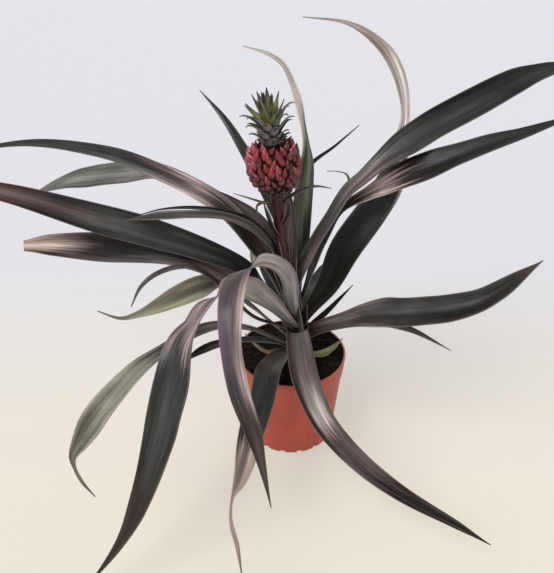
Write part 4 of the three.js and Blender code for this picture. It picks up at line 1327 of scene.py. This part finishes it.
# %% Finish the pot
def pot_material():
    material, tree, shader = new_material("pot plastic")
    cloud = object_noise(tree, 22)
    flow = object_noise(tree, 60, stretch=(1, 1, 0.08))
    colour = blended(tree, remap(tree, cloud, 0.3, 0.7), "#b34530", "#c8543d")
    colour = blended(tree, remap(tree, flow, 0.45, 0.75, 0, 0.35), colour, "#96402f")
    # Painted highlight: a band round the top of the rim is mixed halfway to a pale pink.
    rim = height_share(tree, 0.1055, 0.1078)
    colour = blended(tree, sum_of(tree, "MULTIPLY", rim, 0.5), colour, "#cf8470")
    place = add_node(tree, "ShaderNodeTexCoord").outputs["Object"]
    parts = add_node(tree, "ShaderNodeSeparateXYZ", {0: place}).outputs
    squares = sum_of(tree, "ADD", sum_of(tree, "POWER", parts["X"], 2),
                     sum_of(tree, "POWER", parts["Y"], 2))
    upright = sum_of(tree, "SUBTRACT", sum_of(tree, "POWER", squares, 0.5), sum_of(
        tree, "MULTIPLY", parts["Z"], (POT_RIM_RADIUS - LIP_STEP - POT_BASE_RADIUS) / POT_HEIGHT))
    wall = POT_BASE_RADIUS * MM
    # The inside wall and the inner edge of the rim are blended to a deep brown.
    darker_inside = remap(tree, upright, wall - 1.2 * MM, wall - 0.2 * MM, 1, 0)
    colour = blended(tree, darker_inside, colour, "#2e1a14")
    set_inputs(tree, shader, {"Base Color": colour, "Roughness": remap(tree, cloud, 0.3, 0.7, 0.42, 0.55)})
    bumped(tree, shader, flow, 0.15, 0.0008)
    return material


shell.data.materials.append(pot_material())
hand_over(shell, "pot_wall", "pot", "pot")
print("pot finished")


# %% Finish the peat
def peat_material(name, dark, dry):
    material, tree, shader = new_material(name)
    clods = object_noise(tree, 140, 5)
    colour = blended(tree, remap(tree, clods, 0.45, 0.75), dark, dry)
    set_inputs(tree, shader, {"Base Color": colour, "Roughness": 0.95, "Specular IOR Level": 0.2})
    bumped(tree, shader, object_noise(tree, 500, 5), 0.9, 0.0015)
    return material


soil.data.materials.append(peat_material("peat", "#140f0c", "#2e231b"))
crumbs.data.materials.append(peat_material("peat crumbs", "#120d0a", "#382a20"))
fibres.data.materials.append(peat_material("peat fibres", "#3a2a1c", "#6b5236"))
hand_over(soil, "peat_body", "peat", "peat")
hand_over(crumbs, "peat_crumbs", "peat")
hand_over(fibres, "peat_fibres", "peat")
print("peat finished")

# %% [markdown]
# ## Floor and light
# The plant stands on a plain pale floor that glows a little, like a light table, so its shadows stay
# faint. The main light is a sun with a very wide disc, high on the left and in front, and a weaker
# one behind gives the leaves their sheen. Suns light the floor evenly right to the back. An even
# sky fills in the rest.

# %% Lay the floor and hang the lights
FLOOR_GLOW = 0.56
floor = added(bpy.ops.mesh.primitive_plane_add, size=16, location=(0, 0, -0.2 * MM))
floor.name = "floor"
floor_finish, floor_tree, floor_shader = new_material("floor")
far = add_node(floor_tree, "ShaderNodeTexCoord").outputs["Object"]
far = add_node(floor_tree, "ShaderNodeSeparateXYZ", {0: far}).outputs["Y"]
floor_glow = blended(floor_tree, remap(floor_tree, far, -0.15, 0.5), "#efe8da", "#e4e4ea")
floor_colour = blended(floor_tree, FLOOR_GLOW, floor_glow, "#000000")
set_inputs(floor_tree, floor_shader, {
    "Base Color": floor_colour, "Emission Color": floor_glow, "Emission Strength": FLOOR_GLOW,
    "Roughness": 0.9, "Specular IOR Level": 0.1})
floor.data.materials.append(floor_finish)

AIM = Vector((0, 0, 0.2))


def hang(name, kind, place, **settings):
    """A light at one place, aimed at the middle of the plant."""
    lamp = bpy.data.lights.new(name, kind)
    for setting, value in settings.items():
        setattr(lamp, setting, value)
    light = bpy.data.objects.new(name, lamp)
    light.location = place
    light.rotation_euler = (AIM - Vector(place)).to_track_quat("-Z", "Y").to_euler()
    bpy.context.scene.collection.objects.link(light)


hang("main light", "SUN", (-1.1, -0.9, 2.0), energy=2.0, angle=math.radians(36))
hang("back light", "SUN", (0.4, 1.7, 1.5), energy=0.5, angle=math.radians(30))

sky = bpy.data.worlds.new("sky")
sky.use_nodes = True
sky.node_tree.nodes["Background"].inputs["Color"].default_value = (0.97, 0.97, 1.0, 1)
sky.node_tree.nodes["Background"].inputs["Strength"].default_value = 0.4
bpy.context.scene.world = sky
bpy.context.scene.view_settings.view_transform = "Standard"
